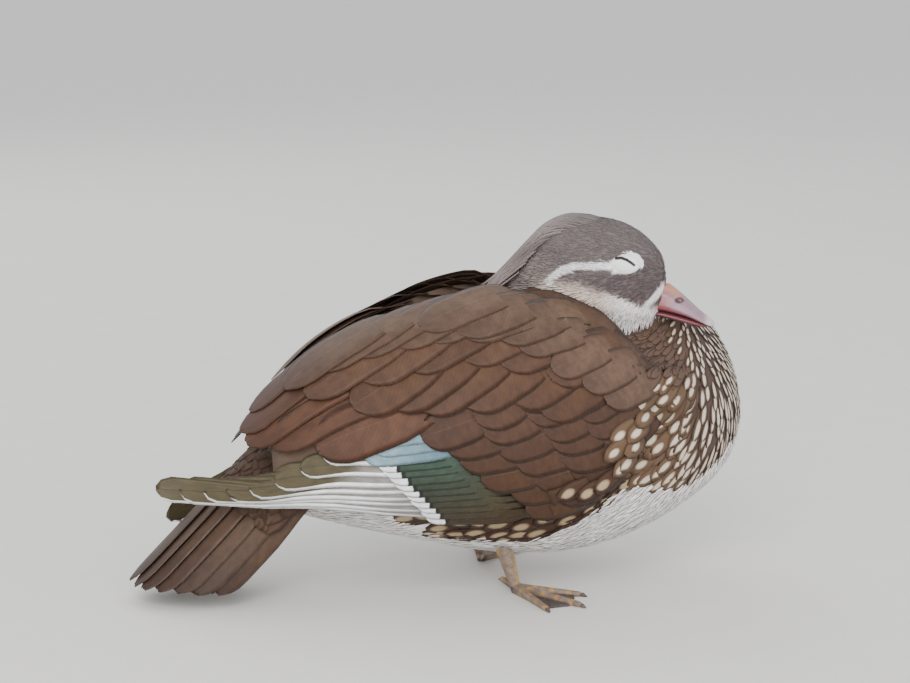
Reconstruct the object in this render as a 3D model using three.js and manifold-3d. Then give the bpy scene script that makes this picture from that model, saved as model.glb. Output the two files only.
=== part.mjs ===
// A female mandarin duck at rest, life size, in millimetres.
// +X is the way the breast faces, +Y is the bird's left and +Z is up.
// The places below are measured from a point on the floor under the middle of the back;
// the last lines move the whole bird so that its origin is the bottom centre of its box.

import * as THREE from 'three';
import { mergeVertices } from 'three/addons/utils/BufferGeometryUtils.js';
import Module from 'manifold-3d';

const wasm = await Module();
wasm.setup();

// Driving sizes
const SEAT = 0.3;                 // gap left between two parts that touch
const SLIVER = 0.05;              // edges shorter than this are merged away
const RIGHT = -1;                 // sign of Y on the bird's right side
const LEFT = 1;

// Head: where its own frame stands and how far it is turned to the right
const HEAD_PLACE = new THREE.Vector3(45.5, -13, 153);
const HEAD_YAW = -24;

// Egg-shaped stations: [x, lowest z, highest z, half width, how far the top narrows]
const BODY_STATIONS = [
  [-126, 60, 60, 0, 0],
  [-121, 45, 75, 16, 0],
  [-108, 40, 90, 29, 0],
  [-84, 32, 111, 43, 0],
  [-50, 23, 131, 54, 0],
  [-10, 13.5, 143.5, 59, 0],
  [30, 11, 143, 60, 0.15],
  [60, 17.5, 142.5, 58, 0.35],
  [85, 29, 141, 52, 0.45],
  [104, 42, 127, 41, 0.4],
  [116, 58, 108, 25, 0.2],
  [121, 83, 83, 0, 0],
];
const HEAD_STATIONS = [
  [-40, -6, -6, 0],
  [-36, -19, 9, 13],
  [-24, -27, 21, 20.5],
  [-8, -31.5, 25, 24],
  [6, -33, 24.2, 24],
  [18, -30.5, 19.3, 20.5],
  [27, -25, 11.5, 14.5],
  [31.2, -17, 5, 9],
  [32.6, -5, -5, 0],
];
const UPPER_BILL_STATIONS = [
  [21, -14, -14, 0],
  [24, -19.6, -5.5, 6],
  [31, -20.8, -5.8, 7],
  [36, -21.8, -9.2, 6.8],
  [42, -23.2, -14.2, 6.3],
  [48, -25.4, -19.8, 5.6],
  [53, -27.6, -23.8, 4.6],
  [55, -27.2, -27.2, 0],
];
const LOWER_BILL_STATIONS = [
  [19, -21.4, -21.4, 0],
  [22, -23, -20.2, 5],
  [32, -24.7, -21.6, 5.6],
  [41, -27, -23.8, 5.2],
  [49, -28.8, -26.4, 4.2],
  [53, -28.6, -28.6, 0],
];

// Crest: height of its middle line along the head, its core and its tiers from the longest feathers up
const CREST_LINE = [[0, 24.6], [-8, 25.2], [-17, 24.8], [-27, 20], [-36, 11], [-45, 1], [-54, -8], [-60, -11.5]];
const CREST_ROUND = 15;
const CREST_CORE = { ends: [-14, -38], widths: [26, 16], depth: 7, sink: 0.9 };
const CREST_TIERS = [
  { from: -26, to: -59, spread: 10, count: 5 },
  { from: -14, to: -44, spread: 12, count: 5 },
  { from: -2, to: -29, spread: 10, count: 4 },
];
const CREST_FEATHER = { half: 2.8, thick: 0.6, round: CREST_ROUND };
const CREST_LIFT = { root: -1.4, tip: 0.6, alternate: 0, tier: 0.5 };
const CREST_TIP_ARC = 5;          // how much shorter the outer feathers of a tier end
const CREST_CLEARANCE = { below: -2.4, above: 12, front: -4, behind: 1.5, width: 42 };
const NAPE_STATIONS = [
  [-58, -16, -16, 0],
  [-52, -26, -9, 9],
  [-42, -28, 2.5, 15],
  [-30, -28, 15, 17],
  [-16, -20, 15, 10],
  [-8, 0, 0, 0],
];

// Feathers of the folded wing, tier by tier from the longest up. Roots and tips are those of the first and
// the last feather, as [x, degrees from straight up]; lift is the height over the wing's surface at root
// and tip; tilt raises the lower edge of each feather over its neighbour.
const WING_TIERS = [
  {
    name: 'primaries', count: 6, roots: [[-70, 118], [-58, 95]], tips: [[-171, 87], [-102, 84]],
    half: [4.8, 6], bend: 11, bow: 9, lift: [-1, 0.8], tilt: 20, thick: 0.6, steps: 'long',
  },
  {
    name: 'secondaries', count: 5, roots: [[-12, 119], [-36, 92]], tips: [[-49, 122], [-76, 91]],
    half: [6, 6], lift: [-1.2, 2], tilt: 12, steps: 'long',
  },
  {
    name: 'tertials', count: 5, roots: [[-44, 84], [-50, 14]], tips: [[-86, 86], [-122, 14]],
    half: [11, 11], reach: 20, lift: [-1.2, 2.6], tilt: 6, steps: 'long',
  },
  {
    name: 'greater coverts', count: 5, roots: [[18, 109], [-24, 78]], tips: [[-9, 113], [-54, 80]],
    half: [8, 8], lift: [-1.4, 3.2], tilt: 10, steps: 'short',
  },
  {
    name: 'median coverts', count: 5, roots: [[38, 92], [-2, 70]], tips: [[15, 98], [-30, 70]],
    half: [8.4, 8.4], lift: [-1.4, 3.2], tilt: 10, steps: 'short',
  },
  {
    name: 'scapulars', count: 5, roots: [[36, 52], [-44, 36]], tips: [[4, 62], [-88, 52]],
    half: [9, 12], lift: [-1.4, 3.8], tilt: 3, steps: 'short',
  },
  {
    name: 'upper scapulars', count: 5, roots: [[16, 34], [-54, 17]], tips: [[-22, 44], [-104, 26]],
    half: [10, 13], lift: [-1.4, 3.6], tilt: 3, steps: 'short',
  },
];
const LENGTH_VARIATION = 1.6;     // how much the feathers of a tier differ in length
const VARIATION_SEED = 7;
const FULL_LIFT_AT = 0.6;         // part of its length at which a feather has its full lift

// One feather: where its rings of corners lie along it, and its shape
const FEATHER_STEPS = { long: [0, 0.4, 0.75, 0.93, 1], short: [0, 0.5, 0.86, 1] };
const FEATHER_SECTION = [1, -1];  // corners across a feather, in half widths
const FEATHER_THICK = 0.8;
const FEATHER_ROUND = 60;         // radius of the hollow across a feather
const FEATHER_ROOT_WIDTH = 0.6;   // width at the root, as a part of the full width
const FEATHER_TIP_REACH = 1.1;    // length of the rounded tip, in half widths
const FEATHER_TIP_BLUNT = 0.965;  // the tip is cut off here, just before it would end in a point
const FEATHER_TIP_THICK = 0.6;    // thickness at the tip, as a part of the full thickness

// Closed eye: middle of the lids in the head's frame, and half sizes along the head, across and up
const EYE_PLACE = new THREE.Vector3(12.8, 15.6, 4.3);
const EYE_HALF = new THREE.Vector3(10, 6, 6.8);
const EYE_TURN = 12;
const SLIT_BACK = new THREE.Vector3(8.4, 0, 7.8);
const SLIT_FRONT = new THREE.Vector3(18.2, 0, 4.6);
const SLIT_ARCH = 1.3;
const SLIT_WIDTH = 0.7;
const SLIT_SIDE = [19.8, 26];      // how far out from the head's middle it lies

// Nostril and nail of the bill, in the head's frame: place and half sizes
const NOSTRIL_PLACE = new THREE.Vector3(38.5, 5.6, -14.6);
const NOSTRIL_HALF = new THREE.Vector3(2.4, 1.3, 1.3);
const NOSTRIL_TURN = 25;
const NAIL_PLACE = new THREE.Vector3(52.2, 0, -25.2);
const NAIL_HALF = new THREE.Vector3(3.4, 2.9, 2);
const NAIL_TURN = 35;

// Folded wing: the surface its feathers lie on, [x, lowest z, highest z, half width]
const WING_COVER = [
  [62, 15, 145, 61.5],
  [30, 8, 147.5, 65.5],
  [0, 9, 148, 66],
  [-30, 16, 143, 64],
  [-60, 24, 131, 59],
  [-90, 32, 117, 51],
  [-110, 36, 102, 44],
  [-125, 39, 88, 37],
  [-145, 46, 74, 29],
  [-172, 54, 64, 21],
];
// Where the wing starts below the back and ends above the belly, [x, degrees from straight up]
const WING_TOP_EDGE = [[56, 66], [30, 42], [0, 27], [-40, 14], [-80, 9], [-110, 12], [-128, 40]];
const WING_LOW_EDGE = [[56, 74], [46, 92], [30, 106], [0, 116], [-50, 121], [-95, 119], [-128, 104]];
const PAD_ENDS = [54, -120];      // front and rear of the wing's core
const PAD_SINK = 0.8;             // how far the core lies below the feathers
const WING_DEPTH = [[56, 12], [-80, 12], [-105, 6], [-128, 3]];
// How far the tip of the left wing hangs below the right one
const LEFT_WING_DROP = 24;
const LEFT_WING_SHORT = 12;

// Tail: its upper ridge at the root and at the tip of the middle feathers
const TAIL_ROOT = new THREE.Vector3(-104, 0, 85);
const TAIL_TIP = new THREE.Vector3(-180, 0, 9);
const TAIL_HALF_WIDTH = 26;
const TAIL_DROP = 25;             // how far the outermost feathers lie below the middle ones
const TAIL_GRADUATION = 26;       // how much shorter the outermost feathers are
const TAIL_PAIRS = 7;
const TAIL_FEATHER_HALF = 6.2;
const TAIL_TILT = 11;             // each feather's outer edge lies over the next feather
const TAIL_PAIR_GAP = 1.3;        // the left middle feather lies this much above the right one
const TAIL_FEATHER_START = 0.26;  // where the feathers leave the core, as a part of the tail's length
const TAIL_CORE_PART = 0.46;      // part of the tail's length that its core fills
const TAIL_CORE_THICK = [24, 5];  // thickness of the core at its root and at its end

// Feet: the heel, three toes joined by webs and flat underneath, and a short raised hind toe
const FOOT_PLACE = new THREE.Vector3(-1, 30, 2.8);
const FOOT_TURN = 58;
const TOES = [
  { name: 'inner', turn: 29, length: 31, thick: 3.6 },
  { name: 'middle', turn: 2, length: 39, thick: 4 },
  { name: 'outer', turn: -24, length: 35, thick: 3.8 },
];
const TOE_TIP_HEIGHT = 1.3;
const HIND_TOE = new THREE.Vector3(-10, -2, 4.2);
const HIND_TOE_RADII = [2.4, 1.5];
const WEB = { back: -1, halfBack: 2, reach: 0.93, thick: 1.2 };
const CLAW_LENGTH = 4.6;
const HIND_CLAW_LENGTH = 3.6;
const LEG_TOP = new THREE.Vector3(-9, 28, 32);
const LEG_RADII = [2.9, 5.5];
const ANKLE_HEIGHT = 6;           // where the leg ends and the foot begins
const ANKLE_STUB = { length: 8, radii: [2.9, 3.2] };

const BROWN = { color: 0x6f5a48, roughness: 0.85 };
const GREY = { color: 0x76706e, roughness: 0.85 };
const HORN = { color: 0x8d7a78, roughness: 0.45 };
const SKIN = { color: 0x8a7350, roughness: 0.6 };
const WHITE = { color: 0xe8e4dc, roughness: 0.8 };
const DARK = { color: 0x3a332c, roughness: 0.4 };

// Weight of the narrowing against the widths, so that one curve can carry both
const NARROW_SCALE = 10;

// Repeatable numbers from 0 to 1
function seeded(seed) {
  let state = seed;
  return () => {
    state = (state * 16807) % 2147483647;
    return state / 2147483647;
  };
}

// Smooth curve through points [x, y] with rising or falling x, read at any x
function through(points) {
  const sorted = [...points].sort((a, b) => a[0] - b[0]);
  const slope = sorted.map((point, i) => {
    const before = sorted[Math.max(i - 1, 0)];
    const after = sorted[Math.min(i + 1, sorted.length - 1)];
    return (after[1] - before[1]) / (after[0] - before[0]);
  });
  return (x) => {
    const last = sorted.length - 2;
    let i = 0;
    while (i < last && x > sorted[i + 1][0]) i += 1;
    const span = sorted[i + 1][0] - sorted[i][0];
    const t = THREE.MathUtils.clamp((x - sorted[i][0]) / span, 0, 1);
    const a = sorted[i][1];
    const b = sorted[i + 1][1];
    const h = t * t * (3 - 2 * t);
    return a + (b - a) * h + span * t * (1 - t) * (slope[i] * (1 - t) - slope[i + 1] * t);
  };
}

// Closed body with egg-shaped sections, from a sphere whose rings become the stations
function eggLoft(stations, sides, rings, { grow = 0, widest = 0.5 } = {}) {
  const centreX = (stations[0][0] + stations.at(-1)[0]) / 2;
  const outlines = stations.map(([x, low, high]) => new THREE.Vector3(
    x + grow * Math.sign(x - centreX) * (low === high ? 1 : 0),
    low - (low === high ? 0 : grow),
    high + (low === high ? 0 : grow)));
  const widths = stations.map(([, , , half, narrow = 0]) => new THREE.Vector3(
    half ? half + grow : 0, narrow * NARROW_SCALE, 0));
  const outline = new THREE.CatmullRomCurve3(outlines, false, 'centripetal');
  const width = new THREE.CatmullRomCurve3(widths, false, 'centripetal');
  const geometry = new THREE.SphereGeometry(1, sides, rings);
  const place = geometry.attributes.position;
  for (let i = 0; i < place.count; i += 1) {
    const across = place.getZ(i);
    const upward = place.getX(i);
    const radius = Math.hypot(across, upward);
    const t = 1 - Math.acos(THREE.MathUtils.clamp(place.getY(i), -1, 1)) / Math.PI;
    const at = outline.getPoint(t);
    if (radius < 1e-6) {
      place.setXYZ(i, at.x, 0, at.y);
      continue;
    }
    const level = at.y + (at.z - at.y) * widest;
    const rise = upward > 0 ? at.z - level : level - at.y;
    const side = width.getPoint(t);
    const top = Math.max(upward / radius, 0);
    const narrowed = 1 - (side.y / NARROW_SCALE) * top * top;
    place.setXYZ(i, at.x, ((side.x * across) / radius) * narrowed, level + (rise * upward) / radius);
  }
  return geometry;
}

// Box with a grid on its faces, bent by a function from (u, v, w) in 0..1 to a point
function bentBox(alongCount, acrossCount, bend) {
  const geometry = new THREE.BoxGeometry(1, 1, 1, alongCount, acrossCount, 1);
  const place = geometry.attributes.position;
  for (let i = 0; i < place.count; i += 1) {
    const point = bend(place.getX(i) + 0.5, place.getY(i) + 0.5, place.getZ(i) + 0.5);
    place.setXYZ(i, point.x, point.y, point.z);
  }
  return geometry;
}

// Solid for joining and cutting, turned right side out
function solid(geometry, matrix = new THREE.Matrix4()) {
  const bare = geometry.clone();
  bare.deleteAttribute('normal');
  bare.deleteAttribute('uv');
  bare.applyMatrix4(matrix);
  const merged = mergeVertices(bare, 1e-4);
  const corners = Uint32Array.from(merged.index.array);
  const places = merged.attributes.position;
  let volume = 0;
  for (let i = 0; i < corners.length; i += 3) {
    const [a, b, c] = [0, 1, 2].map((k) => new THREE.Vector3().fromBufferAttribute(places, corners[i + k]));
    volume += a.dot(b.cross(c));
  }
  if (volume < 0) {
    for (let i = 0; i < corners.length; i += 3) [corners[i + 1], corners[i + 2]] = [corners[i + 2], corners[i + 1]];
  }
  return new wasm.Manifold(new wasm.Mesh({
    numProp: 3, vertProperties: Float32Array.from(places.array), triVerts: corners }));
}

// Largest closed surface of a solid
function largest(whole) {
  return whole.decompose().sort((a, b) => b.volume() - a.volume())[0];
}

function mesh(name, whole, finish) {
  const { vertProperties, triVerts } = largest(whole).simplify(SLIVER).getMesh();
  const geometry = new THREE.BufferGeometry();
  geometry.setAttribute('position', new THREE.BufferAttribute(Float32Array.from(vertProperties), 3));
  geometry.setIndex(new THREE.BufferAttribute(Uint32Array.from(triVerts), 1));
  geometry.computeVertexNormals();
  const made = new THREE.Mesh(geometry, new THREE.MeshStandardMaterial(finish));
  made.name = name;
  return made;
}

function moved(x, y, z, turnZ = 0, turnY = 0, turnX = 0) {
  const turn = new THREE.Euler(...[turnX, turnY, turnZ].map(THREE.MathUtils.degToRad), 'ZYX');
  return new THREE.Matrix4().compose(
    new THREE.Vector3(x, y, z), new THREE.Quaternion().setFromEuler(turn), new THREE.Vector3(1, 1, 1));
}

const headFrame = moved(HEAD_PLACE.x, HEAD_PLACE.y, HEAD_PLACE.z, HEAD_YAW);

// Torso and neck are one body, parted by a sloping cut from the nape to the front of the breast
const NECK_CUT = { x: -20, z: 146, slope: 32 };

function neckSide(gap) {
  const block = new THREE.BoxGeometry(400, 300, 200);
  block.translate(200, 0, 100 + gap);
  return solid(block, moved(NECK_CUT.x, 0, NECK_CUT.z, 0, NECK_CUT.slope));
}

function bodySolid(grow = 0) {
  return solid(eggLoft(BODY_STATIONS, 28, 21, { grow, widest: 0.45 }));
}

function headSolid(grow = 0) {
  return solid(eggLoft(HEAD_STATIONS, 22, 16, { grow, widest: 0.42 }));
}

function ellipsoid(place, half, turnY = 0, sides = 8) {
  const ball = new THREE.SphereGeometry(1, sides, sides - 2);
  ball.scale(half.x, half.y, half.z);
  return solid(ball, moved(place.x, place.y, place.z, 0, turnY));
}

function upperBillSolid(grow = 0) {
  return solid(eggLoft(UPPER_BILL_STATIONS, 12, 10, { grow, widest: 0.25 }));
}

function finishedBill() {
  const [right, left] = [RIGHT, LEFT].map((side) => (
    ellipsoid(
      new THREE.Vector3(NOSTRIL_PLACE.x, side * NOSTRIL_PLACE.y, NOSTRIL_PLACE.z), NOSTRIL_HALF, NOSTRIL_TURN)));
  const nail = ellipsoid(NAIL_PLACE, NAIL_HALF, NAIL_TURN);
  return upperBillSolid().add(nail).subtract(right).subtract(left);
}

function lowerBillSolid(grow = 0) {
  return solid(eggLoft(LOWER_BILL_STATIONS, 10, 8, { grow, widest: 0.6 }));
}

function billSolid(grow = 0) {
  return upperBillSolid(grow).add(lowerBillSolid(grow));
}

// Slit between the closed lids: a thin bent blade that reaches into the eye's outer face
function slitSolid(side) {
  return solid(bentBox(6, 1, (u, v, w) => new THREE.Vector3(
    THREE.MathUtils.lerp(SLIT_BACK.x, SLIT_FRONT.x, u),
    side * THREE.MathUtils.lerp(SLIT_SIDE[0], SLIT_SIDE[1], w),
    THREE.MathUtils.lerp(SLIT_BACK.z, SLIT_FRONT.z, u)
      + SLIT_ARCH * Math.sin(Math.PI * u) + SLIT_WIDTH * (v - 0.5))));
}

function eyeSolid(side, grow = 0) {
  const ball = new THREE.SphereGeometry(1, 14, 8);
  ball.scale(EYE_HALF.x + grow, EYE_HALF.y + grow, EYE_HALF.z + grow);
  return solid(ball, moved(EYE_PLACE.x, side * EYE_PLACE.y, EYE_PLACE.z, 0, EYE_TURN));
}

// Point on the folded wing's surface, at an angle from straight up
const coverLow = through(WING_COVER.map(([x, low]) => [x, low]));
const coverHigh = through(WING_COVER.map(([x, , high]) => [x, high]));
const coverHalf = through(WING_COVER.map(([x, , , half]) => [x, half]));

function coverPoint(side, x, degrees) {
  const low = coverLow(x);
  const high = coverHigh(x);
  const angle = THREE.MathUtils.degToRad(degrees);
  const behind = side === LEFT ? THREE.MathUtils.clamp((-70 - x) / 100, 0, 1) : 0;
  const drop = LEFT_WING_DROP * behind ** 1.5;
  return new THREE.Vector3(
    x + LEFT_WING_SHORT * behind * behind,
    side * coverHalf(x) * Math.sin(angle),
    (low + high) / 2 + ((high - low) / 2) * Math.cos(angle) - drop);
}

function onCover(side, x, degrees, lift) {
  const here = coverPoint(side, x, degrees);
  const along = coverPoint(side, x + 1, degrees).sub(here);
  const round = coverPoint(side, x, degrees + 1).sub(here);
  const out = along.cross(round).normalize();
  if (out.y * side < 0) out.negate();
  return { point: here.addScaledVector(out, lift), out };
}

const wingTop = through(WING_TOP_EDGE);
const wingLow = through(WING_LOW_EDGE);
const wingDepth = through(WING_DEPTH);

function wingSolid(side) {
  const random = seeded(VARIATION_SEED);
  const vanes = WING_TIERS.flatMap((tier) => tierVanes(side, tier, random));
  return wasm.Manifold.union([wingPad(side), ...vanes]).subtract(bodySolid(SEAT));
}

function wingPad(side) {
  return solid(bentBox(15, 6, (u, v, w) => {
    const x = THREE.MathUtils.lerp(PAD_ENDS[0], PAD_ENDS[1], u);
    const degrees = THREE.MathUtils.lerp(wingTop(x), wingLow(x), v);
    const edge = Math.sin(Math.PI * THREE.MathUtils.clamp(u, 0.02, 0.98)) ** 0.4;
    return onCover(side, x, degrees, -PAD_SINK - (wingDepth(x) - PAD_SINK) * (1 - w) * edge).point;
  }));
}

// Feather: a thin blade along a path of points, rounded at its tip. Its section has an upper and a
// lower row of corners at the same places across, and both rows are split into triangles alike.
function vane(pathAt, { half, steps = 'short', thick = FEATHER_THICK, tilt = 0, round = FEATHER_ROUND }) {
  const stations = FEATHER_STEPS[steps];
  const frames = stations.map(pathAt);
  const length = frames[0].point.distanceTo(frames.at(-1).point);
  const tipStart = 1 - (FEATHER_TIP_REACH * half) / length;
  const row = FEATHER_SECTION.length;
  const slope = Math.tan(THREE.MathUtils.degToRad(tilt));
  const corners = [];
  frames.forEach(({ point, out }, i) => {
    const along = frames[Math.min(i + 1, frames.length - 1)].point.clone()
      .sub(frames[Math.max(i - 1, 0)].point).normalize();
    const across = out.clone().cross(along).normalize();
    const t = stations[i];
    const past = THREE.MathUtils.clamp((t - tipStart) / (1 - tipStart), 0, FEATHER_TIP_BLUNT);
    const grown = THREE.MathUtils.lerp(FEATHER_ROOT_WIDTH, 1, THREE.MathUtils.smoothstep(t, 0, 0.5));
    const wide = half * grown * Math.sqrt(1 - past * past);
    const deep = (thick / 2) * (t === 1 ? FEATHER_TIP_THICK : 1);
    for (const up of [1, -1]) {
      for (const place of FEATHER_SECTION) {
        const side = place * wide;
        corners.push(...point.clone()
          .addScaledVector(across, side)
          .addScaledVector(out, up * deep + side * slope - (side * side) / (2 * round))
          .toArray());
      }
    }
  });
  const faces = [];
  for (let i = 0; i < frames.length - 1; i += 1) {
    const [top, low] = [2 * row * i, 2 * row * i + row];
    const next = 2 * row;
    for (let k = 0; k < row - 1; k += 1) {
      const [t, l] = [top + k, low + k];
      faces.push(t, t + 1, t + 1 + next, t, t + 1 + next, t + next);
      faces.push(l, l + 1 + next, l + 1, l, l + next, l + 1 + next);
    }
    const last = row - 1;
    faces.push(low, top, top + next, low, top + next, low + next);
    faces.push(top + last, low + last, low + last + next, top + last, low + last + next, top + last + next);
  }
  const end = 2 * row * (frames.length - 1);
  for (let k = 0; k < row - 1; k += 1) {
    faces.push(k, row + k, row + k + 1, k, row + k + 1, k + 1);
    faces.push(end + k, end + row + k + 1, end + row + k, end + k, end + k + 1, end + row + k + 1);
  }
  const geometry = new THREE.BufferGeometry();
  geometry.setAttribute('position', new THREE.Float32BufferAttribute(corners, 3));
  geometry.setIndex(faces);
  return solid(geometry);
}

// One tier of the wing: feathers spread evenly from the first to the last
function tierVanes(side, tier, random) {
  const { count, roots, tips, half, bend = 0, bow = 0, reach = 0, lift, tilt, thick, steps } = tier;
  const vanes = [];
  for (let i = 0; i < count; i += 1) {
    const k = i / (count - 1);
    const arc = Math.sin(Math.PI * k);
    const [from, to] = [roots, tips].map(([first, last]) => (
      first.map((value, n) => THREE.MathUtils.lerp(value, last[n], k))));
    to[0] += (random() - 0.5) * LENGTH_VARIATION - reach * arc;
    to[1] += bow * arc;
    vanes.push(vane((t) => onCover(
      side,
      THREE.MathUtils.lerp(from[0], to[0], t),
      THREE.MathUtils.lerp(from[1], to[1], t) + bend * (1 - k) * Math.sin(Math.PI * t),
      THREE.MathUtils.lerp(lift[0], lift[1], Math.min(1, t / FULL_LIFT_AT))),
    { half: THREE.MathUtils.lerp(half[0], half[1], k), steps, thick, tilt: -side * tilt }));
  }
  return vanes;
}

// Tail: a narrow roof that droops behind the wings, in a frame with its ridge along -X
const tailLength = TAIL_ROOT.distanceTo(TAIL_TIP);
const tailSlope = THREE.MathUtils.radToDeg(Math.atan2(TAIL_ROOT.z - TAIL_TIP.z, TAIL_ROOT.x - TAIL_TIP.x));

function tailPoint(side, roll, along, lift) {
  const out = new THREE.Vector3(0, side * Math.sin(roll), Math.cos(roll));
  const point = new THREE.Vector3(
    -along, side * TAIL_HALF_WIDTH * Math.sin(roll), -TAIL_DROP * (1 - Math.cos(roll))).addScaledVector(out, lift);
  return { point, out };
}

function tailSolid() {
  const core = solid(bentBox(4, 10, (u, v, w) => {
    const roll = (v - 0.5) * Math.PI;
    const along = tailLength * TAIL_CORE_PART * u;
    const { point } = tailPoint(Math.sign(roll) || 1, Math.abs(roll), along, -0.5);
    const thick = THREE.MathUtils.lerp(TAIL_CORE_THICK[0], TAIL_CORE_THICK[1], u);
    return point.setZ(point.z - thick * (1 - w) * Math.cos(roll * 0.8));
  }));
  const feathers = [];
  for (let pair = 0; pair < TAIL_PAIRS; pair += 1) {
    const k = (pair + 0.5) / (TAIL_PAIRS - 0.4);
    const end = tailLength - TAIL_GRADUATION * k ** 1.6;
    for (const side of [RIGHT, LEFT]) {
      const lift = pair === 0 && side === LEFT ? TAIL_PAIR_GAP : 0;
      feathers.push(vane((t) => tailPoint(
        side, (k * Math.PI) / 2, THREE.MathUtils.lerp(tailLength * TAIL_FEATHER_START, end, t), lift),
      { half: TAIL_FEATHER_HALF, steps: 'long', tilt: -side * TAIL_TILT }));
    }
  }
  return wasm.Manifold.union([core, ...feathers])
    .transform(moved(TAIL_ROOT.x, 0, TAIL_ROOT.z, 0, -tailSlope).elements)
    .subtract(bodySolid(SEAT));
}

// Crest: soft narrow feathers in tiers, laid back from the crown over the nape, in the head's frame
const crestTop = through(CREST_LINE);

function crestPoint(x, y, lift) {
  const slope = crestTop(x + 0.5) - crestTop(x - 0.5);
  const out = new THREE.Vector3(-slope, y / CREST_ROUND, 1).normalize();
  const point = new THREE.Vector3(x, y, crestTop(x) - (y * y) / (2 * CREST_ROUND));
  return { point: point.addScaledVector(out, lift), out };
}

function crestSolid() {
  const { ends, widths, depth, sink } = CREST_CORE;
  const core = solid(bentBox(8, 6, (u, v, w) => {
    const middle = Math.sin(Math.PI * THREE.MathUtils.clamp(v, 0.1, 0.9));
    return crestPoint(
      THREE.MathUtils.lerp(ends[0], ends[1], u),
      (v - 0.5) * THREE.MathUtils.lerp(widths[0], widths[1], u),
      -sink - depth * (1 - w) * middle).point;
  }));
  const feathers = CREST_TIERS.flatMap(({ from, to, spread, count }, tier) => (
    Array.from({ length: count }, (_, i) => {
      const k = (2 * i) / (count - 1) - 1;
      const tipLift = CREST_LIFT.tip + CREST_LIFT.alternate * (i % 2) + CREST_LIFT.tier * tier;
      return vane((t) => crestPoint(
        THREE.MathUtils.lerp(from, to + CREST_TIP_ARC * k * k, t),
        k * spread * (1 - 0.25 * t),
        THREE.MathUtils.lerp(CREST_LIFT.root, tipLift, t)), CREST_FEATHER);
    })));
  return wasm.Manifold.union([core, ...feathers]).subtract(headSolid(SEAT));
}

// Slightly larger plain form of the crest, cut out of the nape under it
function crestSpace() {
  const { below, above, front, behind, width } = CREST_CLEARANCE;
  return solid(bentBox(10, 8, (u, v, w) => crestPoint(
    THREE.MathUtils.lerp(front, CREST_TIERS[0].to - behind, u),
    (v - 0.5) * width,
    THREE.MathUtils.lerp(below, above, w)).point));
}

function capsule(from, to, startRadius, endRadius, sides = 8) {
  const span = to.clone().sub(from);
  const length = span.length();
  const shape = new THREE.SphereGeometry(1, sides, 6);
  const place = shape.attributes.position;
  for (let i = 0; i < place.count; i += 1) {
    const y = place.getY(i);
    const radius = y > 0 ? endRadius : startRadius;
    place.setXYZ(i, place.getX(i) * radius, y * radius + (y >= 0 ? length : 0), place.getZ(i) * radius);
  }
  const turn = new THREE.Quaternion().setFromUnitVectors(new THREE.Vector3(0, 1, 0), span.normalize());
  return solid(shape, new THREE.Matrix4().compose(from, turn, new THREE.Vector3(1, 1, 1)));
}

// Large block whose lower (up = 1) or upper (up = -1) face lies at height z
function levelBlock(up, z) {
  return solid(new THREE.BoxGeometry(200, 200, 200), moved(0, 0, z + up * 100));
}

function hindToe(side) {
  return new THREE.Vector3(HIND_TOE.x, HIND_TOE.y * side, HIND_TOE.z);
}

function toeTip({ turn, length }, side, height) {
  const angle = THREE.MathUtils.degToRad(turn * -side);
  return new THREE.Vector3(length * Math.cos(angle), length * Math.sin(angle), height);
}

// Foot in its own frame, whose X points where the middle toe does
function footSolid(side, grow = 0) {
  const heel = new THREE.Vector3(0, 0, FOOT_PLACE.z);
  const upward = LEG_TOP.clone().sub(FOOT_PLACE).setLength(ANKLE_STUB.length);
  upward.y *= side;
  upward.applyAxisAngle(new THREE.Vector3(0, 0, 1), THREE.MathUtils.degToRad(-side * FOOT_TURN));
  let foot = capsule(heel, hindToe(side), HIND_TOE_RADII[0] + grow, HIND_TOE_RADII[1] + grow)
    .add(capsule(heel, heel.clone().add(upward), ANKLE_STUB.radii[0], ANKLE_STUB.radii[1]));
  const outline = [new THREE.Vector2(WEB.back, WEB.halfBack * side)];
  for (const toe of [...TOES].reverse()) {
    const tip = toeTip(toe, side, TOE_TIP_HEIGHT);
    foot = foot.add(capsule(heel, tip, toe.thick / 2 + 0.6 + grow, toe.thick / 2 - 0.4 + grow));
    outline.push(new THREE.Vector2(tip.x * WEB.reach, tip.y * WEB.reach));
  }
  outline.push(new THREE.Vector2(WEB.back, -WEB.halfBack * side));
  const web = new THREE.ExtrudeGeometry(new THREE.Shape(outline), { depth: WEB.thick, bevelEnabled: false });
  return foot.add(solid(web))
    .subtract(levelBlock(-1, -grow))
    .subtract(levelBlock(1, ANKLE_HEIGHT));
}

// Claw: a curved cone that leaves the toe's tip and bends down to the floor
function clawSolid(root, angle, size) {
  const cone = new THREE.SphereGeometry(1, 6, 5);
  cone.scale(size, size * 0.3, size * 0.34);
  const place = cone.attributes.position;
  for (let i = 0; i < place.count; i += 1) {
    const reach = Math.max(place.getX(i), 0) / size;
    place.setZ(i, place.getZ(i) * (1 - 0.5 * reach) - 0.3 * size * reach * reach);
  }
  const turned = moved(root.x, root.y, root.z, THREE.MathUtils.radToDeg(angle));
  return solid(cone, turned).subtract(levelBlock(-1, 0));
}

const duck = new THREE.Group();
const SIDES = [{ side: RIGHT, label: 'right' }, { side: LEFT, label: 'left' }];

// Flesh: neck and torso are cut clear of each other and of the head
const whole = bodySolid();
const headSpace = headSolid(SEAT).add(billSolid(SEAT)).add(crestSpace()).transform(headFrame.elements);
const torso = whole.subtract(neckSide(0)).subtract(headSpace);
const nape = solid(eggLoft(NAPE_STATIONS, 12, 8)).transform(headFrame.elements);
const neck = whole.add(nape).intersect(neckSide(SEAT)).subtract(headSpace);
duck.add(mesh('torso', torso, BROWN), mesh('neck', neck, BROWN));

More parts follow.
